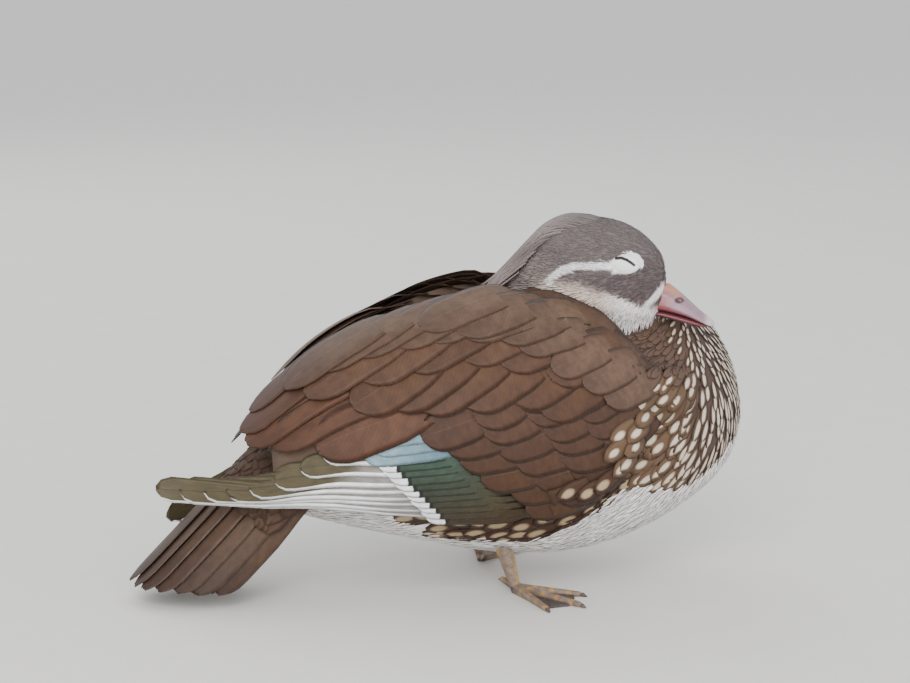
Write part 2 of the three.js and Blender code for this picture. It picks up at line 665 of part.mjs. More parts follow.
// Head, eyes, bill and crest, in the head's own frame
const headGroup = new THREE.Group();
headGroup.position.copy(HEAD_PLACE);
headGroup.rotation.z = THREE.MathUtils.degToRad(HEAD_YAW);
let head = headSolid();
for (const { side, label } of SIDES) {
  head = head.subtract(eyeSolid(side, SEAT));
  headGroup.add(mesh(`eye_${label}`, eyeSolid(side).subtract(slitSolid(side)), WHITE));
}
const upperBill = finishedBill().subtract(headSolid(SEAT));
const lowerBill = lowerBillSolid().subtract(headSolid(SEAT)).subtract(upperBillSolid(SEAT));
headGroup.add(mesh('crest', crestSolid(), GREY), mesh('head', head, GREY));
headGroup.add(mesh('bill_upper', upperBill, HORN), mesh('bill_lower', lowerBill, HORN));
duck.add(headGroup);

// Wings and tail
for (const { side, label } of SIDES) duck.add(mesh(`wing_${label}`, wingSolid(side), BROWN));
duck.add(mesh('tail', tailSolid(), BROWN));

// Feet with their claws, and legs
for (const { side, label } of SIDES) {
  const footGroup = new THREE.Group();
  footGroup.position.set(FOOT_PLACE.x, side * FOOT_PLACE.y, 0);
  footGroup.rotation.z = THREE.MathUtils.degToRad(side * FOOT_TURN);
  footGroup.add(mesh(`foot_${label}`, footSolid(side), SKIN));
  const clawed = TOES.map((toe) => ({ name: toe.name, root: toeTip(toe, side, 1.4), size: CLAW_LENGTH }));
  clawed.push({ name: 'hind', root: hindToe(side), size: HIND_CLAW_LENGTH });
  for (const { name, root, size } of clawed) {
    const claw = clawSolid(root, Math.atan2(root.y, root.x), size).subtract(footSolid(side, SEAT));
    footGroup.add(mesh(`claw_${name}_${label}`, claw, DARK));
  }
  duck.add(footGroup);
  const [ankle, knee] = [FOOT_PLACE, LEG_TOP].map((end) => new THREE.Vector3(end.x, side * end.y, end.z));
  const leg = capsule(ankle, knee, LEG_RADII[0], LEG_RADII[1])
    .subtract(bodySolid(SEAT))
    .subtract(levelBlock(-1, ANKLE_HEIGHT + SEAT));
  duck.add(mesh(`leg_${label}`, leg, SKIN));
}

// Origin at the bottom centre of the whole bird
duck.updateMatrixWorld(true);
const box = new THREE.Box3().setFromObject(duck, true);
const centre = box.getCenter(new THREE.Vector3());
duck.position.set(-centre.x, -centre.y, -box.min.z);

export default duck;
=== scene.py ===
# %% [markdown]
# # A sleeping mandarin duck, dressed feather by feather
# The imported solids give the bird's form: torso, neck, head, bill, wings, tail and feet. This lesson
# lays one skin over the flesh, sets feathers on it in tracts as they grow on a real bird, and gives
# horn, skin and feather their own finish. Everything is in metres in the frame of the solids, but the
# working numbers are millimetres measured from the floor under the middle of the back.

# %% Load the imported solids
import math
import bpy
import numpy as np
from mathutils import Matrix, Vector
from mathutils.bvhtree import BVHTree
from mathutils.kdtree import KDTree


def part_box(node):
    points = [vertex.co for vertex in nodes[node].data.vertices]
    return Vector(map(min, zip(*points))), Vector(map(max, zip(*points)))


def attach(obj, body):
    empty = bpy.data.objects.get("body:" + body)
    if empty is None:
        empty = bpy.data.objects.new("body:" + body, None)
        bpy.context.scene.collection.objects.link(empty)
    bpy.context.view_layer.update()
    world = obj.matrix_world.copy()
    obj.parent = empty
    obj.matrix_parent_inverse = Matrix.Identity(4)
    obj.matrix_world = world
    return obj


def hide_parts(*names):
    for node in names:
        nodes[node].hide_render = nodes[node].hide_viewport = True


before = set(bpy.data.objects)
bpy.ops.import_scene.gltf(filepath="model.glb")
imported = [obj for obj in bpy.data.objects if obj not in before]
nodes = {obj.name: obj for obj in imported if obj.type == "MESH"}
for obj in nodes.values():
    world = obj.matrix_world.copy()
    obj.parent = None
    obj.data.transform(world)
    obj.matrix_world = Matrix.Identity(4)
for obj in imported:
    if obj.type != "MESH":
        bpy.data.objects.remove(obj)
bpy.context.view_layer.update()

# %% [markdown]
# ## Where things are
# The solids were drawn round a point under the middle of the back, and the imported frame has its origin
# under the middle of the whole box. One number, taken from the right foot, joins the two. The head has
# a frame of its own, because it is turned to the right and lies on the breast.

# %% Bird frame and head frame
MM = 0.001
FOOT_FRONT = 27.5                 # front of the right foot in the bird's own frame
SHIFT = np.array([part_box("foot_right")[1].x / MM - FOOT_FRONT, 0.0, 0.0])
HEAD_PLACE = np.array([45.5, -13.0, 153.0])
HEAD_YAW = math.radians(-24)


def to_frame(points):
    """Bird millimetres to metres in the frame of the solids."""
    return (np.asarray(points, float) + SHIFT) * MM


def to_bird(points):
    return np.asarray(points, float) / MM - SHIFT


def to_head(points):
    """Bird millimetres to the head's own frame: x towards the bill, z up."""
    q = np.asarray(points, float) - HEAD_PLACE
    c, s = math.cos(HEAD_YAW), math.sin(HEAD_YAW)
    return np.stack([q[..., 0] * c + q[..., 1] * s, q[..., 1] * c - q[..., 0] * s, q[..., 2]], -1)


def head_vector(vectors):
    """Direction in the head's frame, as a direction of the bird."""
    v = np.asarray(vectors, float)
    c, s = math.cos(HEAD_YAW), math.sin(HEAD_YAW)
    return np.stack([v[..., 0] * c - v[..., 1] * s, v[..., 1] * c + v[..., 0] * s, v[..., 2]], -1)


def smooth(low, high, value):
    """0 up to low, 1 from high on and an even fade between; low may also be the greater one."""
    t = np.clip((np.asarray(value, float) - low) / (high - low), 0, 1)
    return t * t * (3 - 2 * t)


def linear(hex_text):
    """sRGB hex text to linear red, green and blue."""
    parts = [int(hex_text[i:i + 2], 16) / 255 for i in (1, 3, 5)]
    return np.array([p / 12.92 if p <= 0.04045 else ((p + 0.055) / 1.055) ** 2.4 for p in parts])


def through(points):
    """Smooth curve through points (x, y), read at any x."""
    knots = sorted(points)
    xs = np.array([k[0] for k in knots], float)
    ys = np.array([k[1] for k in knots], float)
    before = np.maximum(np.arange(len(xs)) - 1, 0)
    after = np.minimum(np.arange(len(xs)) + 1, len(xs) - 1)
    slope = (ys[after] - ys[before]) / (xs[after] - xs[before])

    def read(x):
        x = np.asarray(x, float)
        i = np.clip(np.searchsorted(xs, x, side="left") - 1, 0, len(xs) - 2)
        span = xs[i + 1] - xs[i]
        t = np.clip((x - xs[i]) / span, 0, 1)
        h = t * t * (3 - 2 * t)
        return ys[i] + (ys[i + 1] - ys[i]) * h + span * t * (1 - t) * (slope[i] * (1 - t) - slope[i + 1] * t)

    return read


print("shift", SHIFT)

# %% [markdown]
# ## Camera, light and floor
# The picture looks down a little at the bird's right side, with a long lens from about a metre and a
# half. A big soft light stands over the camera's left shoulder and another low behind it, for the
# belly. A weaker one on the right fills the shade, and one from behind draws the line of the back. Area
# lights give the soft shadows of a cloudy day without a picture of a sky. The floor is plain and pale.

# %% Camera
LENS_MM = 110.77                  # gives the photograph's width of view on a film this wide
FILM_MM = 36
NEAREST = 0.05
CAMERA_PLACE = (-363.4, -1271.4, 361.4)
CAMERA_AZIMUTH = math.radians(-15)
CAMERA_PITCH = math.radians(10.5)

bpy.ops.object.select_all(action="DESELECT")
bpy.ops.object.camera_add(location=to_frame(CAMERA_PLACE),
                          rotation=(math.pi / 2 - CAMERA_PITCH, 0, CAMERA_AZIMUTH))
camera = bpy.context.object
camera.data.lens = LENS_MM
camera.data.sensor_width = FILM_MM
camera.data.clip_start = NEAREST
bpy.context.scene.camera = camera
print("camera", [round(v, 3) for v in camera.location])

# %% Lights and world
# Name, place in metres, watts, size in metres, tint
STUDIO_LIGHTS = [
    ("key_light", (-0.6, -1.5, 1.1), 27, 1.0, (1.0, 0.98, 0.95)),
    ("fill_light", (1.5, -0.9, 0.5), 8, 1.4, (0.93, 0.96, 1.0)),
    ("low_light", (-0.1, -1.7, 0.22), 13, 1.0, (1.0, 0.98, 0.95)),
    ("back_light", (-0.2, 1.4, 1.2), 9, 1.2, (1.0, 1.0, 1.0)),
]
BIRD_MIDDLE = Vector((0, 0, 0.09))
SKY_TINT = (0.86, 0.89, 0.93, 1)
SKY_STRENGTH = 1.25

for name, place, power, size, tint in STUDIO_LIGHTS:
    bpy.ops.object.light_add(type="AREA", location=place)
    lamp = bpy.context.object
    lamp.name = name
    lamp.data.energy = power
    lamp.data.size = size
    lamp.data.color = tint
    lamp.rotation_euler = (BIRD_MIDDLE - Vector(place)).to_track_quat("-Z", "Y").to_euler()
world = bpy.context.scene.world or bpy.data.worlds.new("studio")
bpy.context.scene.world = world
world.use_nodes = True
sky = world.node_tree.nodes["Background"].inputs
sky["Color"].default_value = SKY_TINT
sky["Strength"].default_value = SKY_STRENGTH
print("lights", [light[0] for light in STUDIO_LIGHTS])

# %% [markdown]
# ## Nodes and finishes
# A material is a small graph of nodes that ends in one Principled shader. It could be drawn in the
# shader editor; here one function adds a node of any kind and links it, so that each recipe reads
# from top to bottom. What is the same all over a surface is set on the shader's own sockets.

# %% One function for nodes
def feed(material, socket, value):
    """Sets an input, or links it to a socket or to the first output of a node."""
    if isinstance(value, bpy.types.Node):
        value = next(output for output in value.outputs if output.enabled)
    if isinstance(value, bpy.types.NodeSocket):
        material.node_tree.links.new(value, socket)
    else:
        socket.default_value = value


def node(material, kind, *inputs, **named):
    """Adds a shader node. Inputs come in order, or by name with a capital; the rest are settings."""
    made = material.node_tree.nodes.new("ShaderNode" + kind)
    for name, value in named.items():
        if name.islower():
            setattr(made, name, value)
    for socket, value in zip([socket for socket in made.inputs if socket.enabled], inputs):
        feed(material, socket, value)
    for name, value in named.items():
        if not name.islower():
            feed(material, made.inputs[name], value)
    return made


def rgba(hex_text):
    return (*linear(hex_text), 1.0)


def new_material(name, roughness, **constants):
    """Material with its Principled shader; constants are set on the shader's own sockets."""
    material = bpy.data.materials.new(name)
    material.use_nodes = True
    shader = material.node_tree.nodes["Principled BSDF"]
    shader.inputs["Roughness"].default_value = roughness
    for socket, value in constants.items():
        shader.inputs[socket.replace("_", " ")].default_value = value
    return material, shader


def surface(material, shader, tone, light, height, strength, distance):
    """Ends a material: its tone times the light and shade of its grain, and its relief in metres."""
    final = node(material, "VectorMath", tone, light, operation="MULTIPLY")
    feed(material, shader.inputs["Base Color"], final)
    bump = node(material, "Bump", Height=height, Strength=strength, Distance=distance)
    feed(material, shader.inputs["Normal"], bump)
    return material


# %% Floor
FLOOR_SIZE = 60                   # metres, so that its far edge never shows

# Matt wall paint on a studio floor: no gloss, and a cloudiness that is only just there
floor_paint, floor_shader = new_material("matt_studio_floor", 0.9)
floor_place = node(floor_paint, "TexCoord").outputs["Object"]
floor_grain = node(floor_paint, "TexNoise", Vector=floor_place, Scale=40, Detail=3)
floor_tone = node(floor_paint, "Mix", floor_grain, rgba("#d8d5d0"), rgba("#dfdcd7"), data_type="RGBA")
feed(floor_paint, floor_shader.inputs["Base Color"], floor_tone)
bpy.ops.object.select_all(action="DESELECT")
bpy.ops.mesh.primitive_grid_add(x_subdivisions=8, y_subdivisions=8, size=FLOOR_SIZE)
floor = bpy.context.object
floor.name = "floor"
floor.data.materials.append(floor_paint)
print("floor", FLOOR_SIZE, "m wide")

# %% [markdown]
# ## One skin under the feathers
# Torso, neck and head were parted by thin cuts. Their copies are joined, fused by a fine voxel remesh
# and smoothed, which closes the cuts, and then sunk inwards by the depth of the coat, more on the body
# than on the face. The skin is only seen between feathers, but it has the same markings.

# %% Fuse the skin
FLESH = ("torso", "neck", "head")
EYES = ("eye_right", "eye_left")  # fill the sockets, so that the skin passes under the lids
SKIN_VOXEL = 0.0021               # metres
SKIN_PASSES = 6
SUNK_PASSES = 2
MERGE = 0.00002
BODY_COAT = 2.4                   # how deep the skin lies under the feathers' tips
HEAD_COAT = 1.1


def copy_of(names, new_name):
    """One new object with merged copies of CAD nodes."""
    bpy.ops.object.select_all(action="DESELECT")
    copies = []
    for name in names:
        made = nodes[name].copy()
        made.data = nodes[name].data.copy()
        made.parent = None
        made.matrix_world = Matrix.Identity(4)
        for key in [k for k in made.keys() if k.startswith("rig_")]:
            del made[key]
        bpy.context.scene.collection.objects.link(made)
        made.select_set(True)
        copies.append(made)
    bpy.context.view_layer.objects.active = copies[0]
    if len(copies) > 1:
        bpy.ops.object.join()
    made = bpy.context.object
    made.name = new_name
    made.data.name = new_name
    made.data.materials.clear()
    bpy.ops.object.mode_set(mode="EDIT")
    bpy.ops.mesh.select_all(action="SELECT")
    bpy.ops.mesh.remove_doubles(threshold=MERGE)
    bpy.ops.object.mode_set(mode="OBJECT")
    return made


def apply_modifier(piece, kind, **settings):
    """Adds a modifier with its settings and applies it."""
    bpy.context.view_layer.objects.active = piece
    modifier = piece.modifiers.new(kind.lower(), kind)
    for name, value in settings.items():
        setattr(modifier, name, value)
    bpy.ops.object.modifier_apply(modifier=modifier.name)


def positions(piece):
    points = np.empty(len(piece.data.vertices) * 3)
    piece.data.vertices.foreach_get("co", points)
    return points.reshape(-1, 3)


def normals(piece):
    out = np.empty(len(piece.data.vertices) * 3)
    piece.data.vertices.foreach_get("normal", out)
    return out.reshape(-1, 3)


def set_positions(piece, points):
    piece.data.vertices.foreach_set("co", np.asarray(points, float).ravel())
    piece.data.update()


skin = copy_of(FLESH + EYES, "skin")
apply_modifier(skin, "REMESH", mode="VOXEL", voxel_size=SKIN_VOXEL, use_smooth_shade=True)
apply_modifier(skin, "SMOOTH", factor=0.5, iterations=SKIN_PASSES)

# %% Where the head's plumage ends
# Middle and half widths of an ellipsoid round the head, in the head's frame
HEAD_MIDDLE = (-3.0, 0.0, -4.0)
HEAD_HALF = (37.0, 26.0, 31.0)


def head_share(points):
    """1 on the head, 0 on the body, and between them over a few millimetres."""
    q = (to_head(points) - HEAD_MIDDLE) / HEAD_HALF
    return 1 - smooth(0.98, 1.12, np.linalg.norm(q, axis=-1))


# Lower edge of the head's plumage in the head's frame: nape, cheek and throat
HEAD_EDGE = through([
    (-62, -6), (-55, -7.5), (-37, -12.4), (-33, -15.6), (-22, -21), (-8, -26.5), (1.4, -29),
    (11, -29), (19, -27.7), (30, -22)])
NAPE_END = -62
NAPE_HALF_WIDTH = 30


def head_cover(points):
    """1 where head plumage grows, on the head and on the drawn-in neck behind it."""
    h = to_head(points)
    above_edge = smooth(-1.5, 1.5, h[:, 2] - HEAD_EDGE(h[:, 0]))
    behind = above_edge * (np.abs(h[:, 1]) < NAPE_HALF_WIDTH) * smooth(24, 18, h[:, 0])
    return np.maximum(head_share(points), behind * (h[:, 0] > NAPE_END))


# %% Sink the skin by the depth of the coat
outer = to_bird(positions(skin))
skin_normals = normals(skin)
coat = BODY_COAT + (HEAD_COAT - BODY_COAT) * head_share(outer)
set_positions(skin, to_frame(outer - skin_normals * coat[:, None]))
apply_modifier(skin, "SMOOTH", factor=0.5, iterations=SUNK_PASSES)
skin_points = to_bird(positions(skin))
skin_normals = normals(skin)

skin_tree = BVHTree.FromPolygons(skin_points.tolist(), [list(p.vertices) for p in skin.data.polygons])
print("skin", len(skin_points), "points")

# %% [markdown]
# ## The lie of the feathers
# Body feathers point away from the bill and overlap like roof tiles. They run straight down the front
# of the breast, slant back over its sides and the flanks, and lie level on back and belly. On the
# head they run back from the bill, and on the cheek they fan down to its ragged lower edge.

# %% Direction of growth
FLANK_SLANT = 30                  # degrees below level, pointing back
FRONT_SLANT = 90                  # straight down the front of the breast


def unit(vectors):
    return vectors / np.maximum(np.linalg.norm(vectors, axis=-1, keepdims=True), 1e-9)


def lie(points, facing):
    """Unit direction of growth along the skin."""
    x, z = points[:, 0], points[:, 2]
    on_back = smooth(112, 132, z) * smooth(70, 30, x)
    on_belly = smooth(34, 22, z) * smooth(105, 60, x)
    slant = FLANK_SLANT * smooth(-90, -50, x) + (FRONT_SLANT - FLANK_SLANT) * smooth(52, 108, x)
    slant = np.radians(slant * (1 - on_back) * (1 - on_belly))
    body = np.stack([-np.cos(slant), 0 * x, -np.sin(slant)], -1)
    h = to_head(points)
    low = smooth(-4, -26, h[:, 2])
    front = smooth(-30, 16, h[:, 0])
    head = np.stack([-1 + 0.85 * low * front, 0 * low, -0.12 - 1.3 * low * (0.45 + 0.55 * front)], -1)
    share = head_cover(points)[:, None]
    way = unit(head_vector(unit(head)) * share + body * (1 - share))
    return unit(way - facing * (way * facing).sum(-1, keepdims=True))


# %% [markdown]
# ## Markings
# One function tells, for any place on the bird, the colour of a feather's ground, the colour of its
# pale mark and the mark's shape. Skin and feathers both ask it, so the markings agree. The edges of
# the fields were measured on the picture: white belly, buff drops on the side of the breast that draw
# out to streaks in front, big buff ovals on the flank, grey head with a white eye stripe.

# %% Colours by place
# Each field of the plumage, in the flat light of the shade
COLOURS = {key: linear(value) for key, value in {
    "white": "#efedeb", "white_shade": "#e2deda", "mantle": "#533b2d", "mantle_grey": "#59473b",
    "shoulder": "#57443a", "breast": "#5e4938", "breast_front": "#46362f", "drop": "#cbbfac",
    "streak": "#cdc1b0", "flank": "#432f25", "oval": "#ab9676", "rump": "#4f4334",
    "crown": "#6b6261", "crown_light": "#877d7b", "lore": "#5a4f4f", "nape": "#857875",
    "cheek": "#d3c0b4", "cheek_dark": "#ccbaaf", "chin": "#f1edec", "eye_white": "#f4f2f2",
    "bill_tuft": "#2b2425",
}.items()}

# Top of the white belly: its height at each place along the bird
WHITE_TOP = through([
    (-128, 60), (-100, 66), (-80, 64), (-70, 51), (-66, 47), (-57, 39.5), (-37, 28.5), (-20, 27.4),
    (9, 27.4), (21, 34), (34, 45), (42, 51.5), (52, 55), (69, 52), (82, 49.5), (90, 54), (98, 60),
    (106, 68), (116, 74), (122, 78)])
# Rear end of the streaks at each height
STREAK_EDGE = through([(60, 92), (95, 84), (106, 81), (127, 71), (150, 64)])
# In the head's side view: the white line behind the eye, the bill's base and the lids
EYE_STRIPE = [
    (7.0, 3.6), (0.0, 3.4), (-9.6, 3.2), (-16.0, 0.8), (-20.7, -2.6), (-24.0, -7.0), (-26.5, -11.5)]
BILL_LINE = [(33.2, -5.0), (31.4, -7.6), (27.5, -12.4), (23.8, -15.6)]
LID_MIDDLE = (13.6, 4.0)
LID_HALF = (6.3, 4.1)
# Half width, middle along the vane and half length of a mark, as shares of the vane
SIDE_DROP = np.array([0.185, 0.72, 0.17])
DROP_TO_STREAK = np.array([0.045, -0.12, 0.28])
FLANK_OVAL = (0.24, 0.72, 0.21)


def lid_ring(h):
    """0 in the middle of the closed lids and 1 on their rim."""
    return np.hypot((h[..., 0] - LID_MIDDLE[0]) / LID_HALF[0], (h[..., 2] - LID_MIDDLE[1]) / LID_HALF[1])


def distance_to_line(x, z, line):
    """Distance to a bent line in the head's side view, and how far along the line, from 0 to 1."""
    best = np.full(x.shape, 1e9)
    where = np.zeros(x.shape)
    for i, (start, end) in enumerate(zip(line[:-1], line[1:])):
        step = np.subtract(end, start)
        t = np.clip(((x - start[0]) * step[0] + (z - start[1]) * step[1]) / (step @ step), 0, 1)
        gap = np.hypot(x - start[0] - t * step[0], z - start[1] - t * step[1])
        where = np.where(gap < best, (i + t) / (len(line) - 1), where)
        best = np.minimum(best, gap)
    return best, where


def blend(first, second, share):
    share = np.asarray(share)[..., None]
    return first * (1 - share) + second * share


def head_colour(h):
    """Colour of the head's plumage at places in the head's frame: each field fades into the next."""
    x, y, z = h[..., 0], np.abs(h[..., 1]), h[..., 2]
    flat = np.ones(x.shape + (3,))
    hind_crown = smooth(-2, -26, x) * smooth(8, 20, z)
    out = blend(COLOURS["crown"] * flat, COLOURS["crown_light"], hind_crown * 0.8)
    out = blend(out, COLOURS["nape"], smooth(-14, -30, x) * smooth(12, 0, z))
    out = blend(out, COLOURS["lore"], smooth(12, 24, x) * smooth(14, -2, z))
    out = blend(out, COLOURS["lore"], smooth(1, -2, z) * smooth(-8, 8, x) * 0.9)
    cheek_top = -7.5 - 0.30 * np.clip(x, -10, 26) - 2.0 * smooth(6, 20, x)
    cheek = smooth(cheek_top + 2.5, cheek_top - 3.5, z) * smooth(-34, -20, x)
    under = blend(COLOURS["cheek_dark"] * flat, COLOURS["cheek"], smooth(-6, -22, z + 0.15 * x))
    out = blend(out, under, cheek)
    chin = smooth(1, 13, x) * smooth(cheek_top + 0.8, cheek_top - 1.2, z)
    out = blend(out, COLOURS["chin"], chin)
    side = smooth(6, 11, y)
    gap, along = distance_to_line(x, z, EYE_STRIPE)
    stripe = smooth(2.1, 1.3 - 0.3 * along, gap) * smooth(1.0, 0.6, along)
    out = blend(out, COLOURS["eye_white"], stripe * side)
    out = blend(out, COLOURS["eye_white"], smooth(1.08, 0.98, lid_ring(h)) * side)
    base, _ = distance_to_line(x, z, BILL_LINE)
    out = blend(out, COLOURS["chin"], smooth(2.0, 1.0, base) * smooth(2.0, 5.0, y))
    return blend(out, COLOURS["bill_tuft"], smooth(30.5, 32.5, x) * smooth(-7, -4.5, z))


def dress(points, chance):
    """Ground colour, mark colour and mark shape by place; chance varies them from 0 to 1."""
    x, z = points[:, 0], points[:, 2]
    flat = np.ones((len(points), 3))
    jitter = chance - 0.5
    front = smooth(62, 100, x)
    ground = blend(COLOURS["mantle"] * flat, COLOURS["mantle_grey"], chance * 0.7)
    ground = blend(ground, COLOURS["rump"], smooth(-70, -100, x))
    mark = COLOURS["drop"] * flat
    shape = np.zeros((len(points), 3))
    edge = WHITE_TOP(x) + 3 * jitter
    breast = (x > 24) & (z > edge) & ((z < 104 + 5 * jitter) | (x > STREAK_EDGE(z) + 6 * jitter))
    plain = (x > 12) & ~breast & (z > 90)
    ground[plain] = blend(COLOURS["shoulder"] * flat, COLOURS["mantle"], smooth(40, 10, x))[plain]
    ground[breast] = blend(COLOURS["breast"] * flat, COLOURS["breast_front"], front)[breast]
    mark[breast] = blend(COLOURS["drop"] * flat, COLOURS["streak"], front)[breast]
    drops = SIDE_DROP + DROP_TO_STREAK * front[:, None]
    shape[breast] = (drops * (1 + 0.25 * jitter[:, None]))[breast]
    flank = (x > -72) & (x < 47) & (z > edge) & (z < 62)
    ground[flank] = COLOURS["flank"]
    mark[flank] = COLOURS["oval"]
    shape[flank] = FLANK_OVAL
    white = z <= edge
    ground[white] = blend(COLOURS["white"] * flat, COLOURS["white_shade"], chance)[white]
    shape[white] = 0
    share = head_cover(points)
    ground = blend(ground, head_colour(to_head(points)), smooth(0.35, 0.65, share))
    shape[share > 0.5] = 0
    return ground, mark, shape


print("colours", len(COLOURS))

# %% [markdown]
# ## How a feather is built
# Every feather is a thin closed blade: rings of corners that follow a path, with a ridge where the
# shaft runs, hollow across, thin at the edges and rounded at the tip. Thousands of them are made at
# once from arrays. Each keeps its own colours as attributes, a UV map across and along the vane for
# its pattern, and a second UV map, where it has a small patch at its root's place on the skin's unwrap.

# %% Feather meshes from arrays
PATCH = 0.003                     # size of one feather's patch on the unwrap
BODY_AXIS_HEIGHT = 80.0
BODY_REAR, BODY_LENGTH = -185, 310
HEAD_REAR, HEAD_LENGTH = -60, 96
LONG_ROWS = 9                     # feathers with this many rows or more have them closer at the tip


def row_steps(rows):
    """Places of the rows along a feather, from 0 to 1."""
    even = np.linspace(0, 1, rows)
    return even if rows < LONG_ROWS else 1 - (1 - even) ** 1.6


def unwrap(points):
    """Place on the skin's own unwrap: the body rolled off round its long axis, the head beside it."""
    on_head = head_share(points) > 0.5
    h = to_head(points)
    turn = np.arctan2(points[:, 1], points[:, 2] - BODY_AXIS_HEIGHT) / (2 * np.pi) + 0.5
    head_turn = np.arctan2(h[:, 1], h[:, 2] + 4) / (2 * np.pi) + 0.5
    along = np.clip((points[:, 0] - BODY_REAR) / BODY_LENGTH, 0, 1)
    head_along = np.clip((h[:, 0] - HEAD_REAR) / HEAD_LENGTH, 0, 1)
    u = np.where(on_head, 0.77 + 0.21 * head_along, 0.01 + 0.72 * along)
    v = 0.01 + 0.97 * np.where(on_head, head_turn, turn)
    return np.stack([u, v], -1)


def ring_faces(rows, ring):
    """Triangles of one closed blade with this many rings of corners."""
    faces = []
    for j in range(rows - 1):
        for i in range(ring):
            a, b = j * ring + i, j * ring + (i + 1) % ring
            faces += [(a, a + ring, b + ring), (a, b + ring, b)]
    last = (rows - 1) * ring
    for i in range(1, ring - 1):
        faces += [(0, i, i + 1), (last, last + i + 1, last + i)]
    return np.array(faces)


FIELDS = {"FLOAT_COLOR": "color", "FLOAT_VECTOR": "vector", "FLOAT": "value"}


def store(mesh, label, kind, numbers):
    """Keeps a colour, a vector or a number for every point of a mesh."""
    if kind == "FLOAT_COLOR":
        numbers = np.concatenate([numbers, np.ones((len(numbers), 1))], -1)
    layer = mesh.attributes.new(label, kind, "POINT")
    layer.data.foreach_set(FIELDS[kind], numbers.astype(np.float32).ravel())


def lay_map(mesh, label, places, corners):
    """UV map that gives each face corner the place of its point."""
    layer = mesh.uv_layers.new(name=label)
    layer.uv.foreach_set("vector", places[corners].astype(np.float32).ravel())


def mesh_of(name, points, faces, material, uvs, attributes, replaced=()):
    """Piece from arrays: triangles, UV maps by point, and attributes by point."""
    mesh = bpy.data.meshes.new(name)
    mesh.vertices.add(len(points))
    mesh.vertices.foreach_set("co", to_frame(points).astype(np.float32).ravel())
    mesh.loops.add(faces.size)
    mesh.loops.foreach_set("vertex_index", faces.astype(np.int32).ravel())
    mesh.polygons.add(len(faces))
    mesh.polygons.foreach_set("loop_start", np.arange(0, faces.size, 3, dtype=np.int32))
    mesh.update(calc_edges=True)
    mesh.shade_smooth()
    for label, places in uvs.items():
        lay_map(mesh, label, places, faces.ravel())
    for label, (kind, numbers) in attributes.items():
        store(mesh, label, kind, numbers)
    mesh.materials.append(material)
    piece = bpy.data.objects.new(name, mesh)
    bpy.context.scene.collection.objects.link(piece)
    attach(piece, "root")
    if replaced:
        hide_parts(*replaced)
    return piece


def feathers(name, path, facing, wide, material, ground, mark, shape, seed, *, thick, camber,
             columns=5, under=(0.0,), tilt=0.0, jag=None, taper=0.75, flip=False, roots=None,
             replaced=()):
    """Joined closed feathers. path and facing are (feather, row, 3), wide is (feather, row).

    columns corners go over the vane and those of under below it. camber is the radius across the
    vane, taper thins its edges, tilt is its slope and jag the raggedness of its tip.
    """
    count, rows, _ = path.shape
    along = unit(np.gradient(path, axis=1))
    across = unit(np.cross(facing, along))
    places = np.concatenate([np.linspace(-1, 1, columns), under])
    top = np.arange(len(places)) < columns
    side = wide[:, :, None] * places
    height = np.where(top, 1 - taper * places ** 2, -1) * thick / 2
    slope = np.broadcast_to(np.asarray(tilt, float), (count,))[:, None, None]
    height = height + slope * side - side ** 2 / (2 * camber)
    points = path[:, :, None] + across[:, :, None] * side[..., None] + facing[:, :, None] * height[..., None]
    steps = row_steps(rows)
    if jag is not None:
        ragged = np.concatenate([jag, jag[:, [columns // 2] * len(under)]], -1)
        points = points + along[:, :, None] * ragged[:, None, :, None] * (steps ** 4)[None, :, None, None]
    ring = len(places)
    across_map = 0.5 + places[None] * (-0.5 if flip else 0.5)
    vane = np.stack(np.broadcast_arrays(across_map, steps[:, None]), -1).reshape(-1, 2)
    corners = rows * ring
    faces = (ring_faces(rows, ring)[None] + (np.arange(count) * corners)[:, None, None]).reshape(-1, 3)
    roots = path[:, 0] if roots is None else roots
    bake = (unwrap(roots)[:, None] + vane[None] * PATCH).reshape(-1, 2)
    mark = ground if mark is None else mark
    shape = np.zeros((count, 3)) if shape is None else shape
    kept = {"Ground": ("FLOAT_COLOR", ground), "Mark": ("FLOAT_COLOR", mark),
            "Spot": ("FLOAT_VECTOR", shape), "Seed": ("FLOAT", seed)}
    return mesh_of(name, points.reshape(-1, 3), faces, material,
                   {"OFBake": bake, "Vane": np.tile(vane, (count, 1))},
                   {label: (kind, np.repeat(numbers, corners, 0))
                    for label, (kind, numbers) in kept.items()}, replaced)


# %% [markdown]
# ## Scattering and growing
# Roots are strewn over the skin and thinned until none is nearer to another than the tract's spacing,
# as on a real bird, where feathers stand in even rows but never on a grid. Each feather then creeps
# along the skin in the direction of growth, its root sunk and its tip lifted over the next one.

# %% Roots and paths
draw = np.random.default_rng(5)   # the only source of chance, so that each run gives the same bird
quads = [list(p.vertices) for p in skin.data.polygons]
face_normals = unit(np.array([skin_normals[q].sum(0) for q in quads]))
corner_table = np.array([q if len(q) == 4 else q + q[-1:] for q in quads])


def on_skin(points):
    """Nearest skin points with smoothed normals."""
    hits = [skin_tree.find_nearest(Vector(point)) for point in points]
    found = np.array([tuple(hit[0]) for hit in hits])
    return found, face_normals[[hit[2] for hit in hits]]


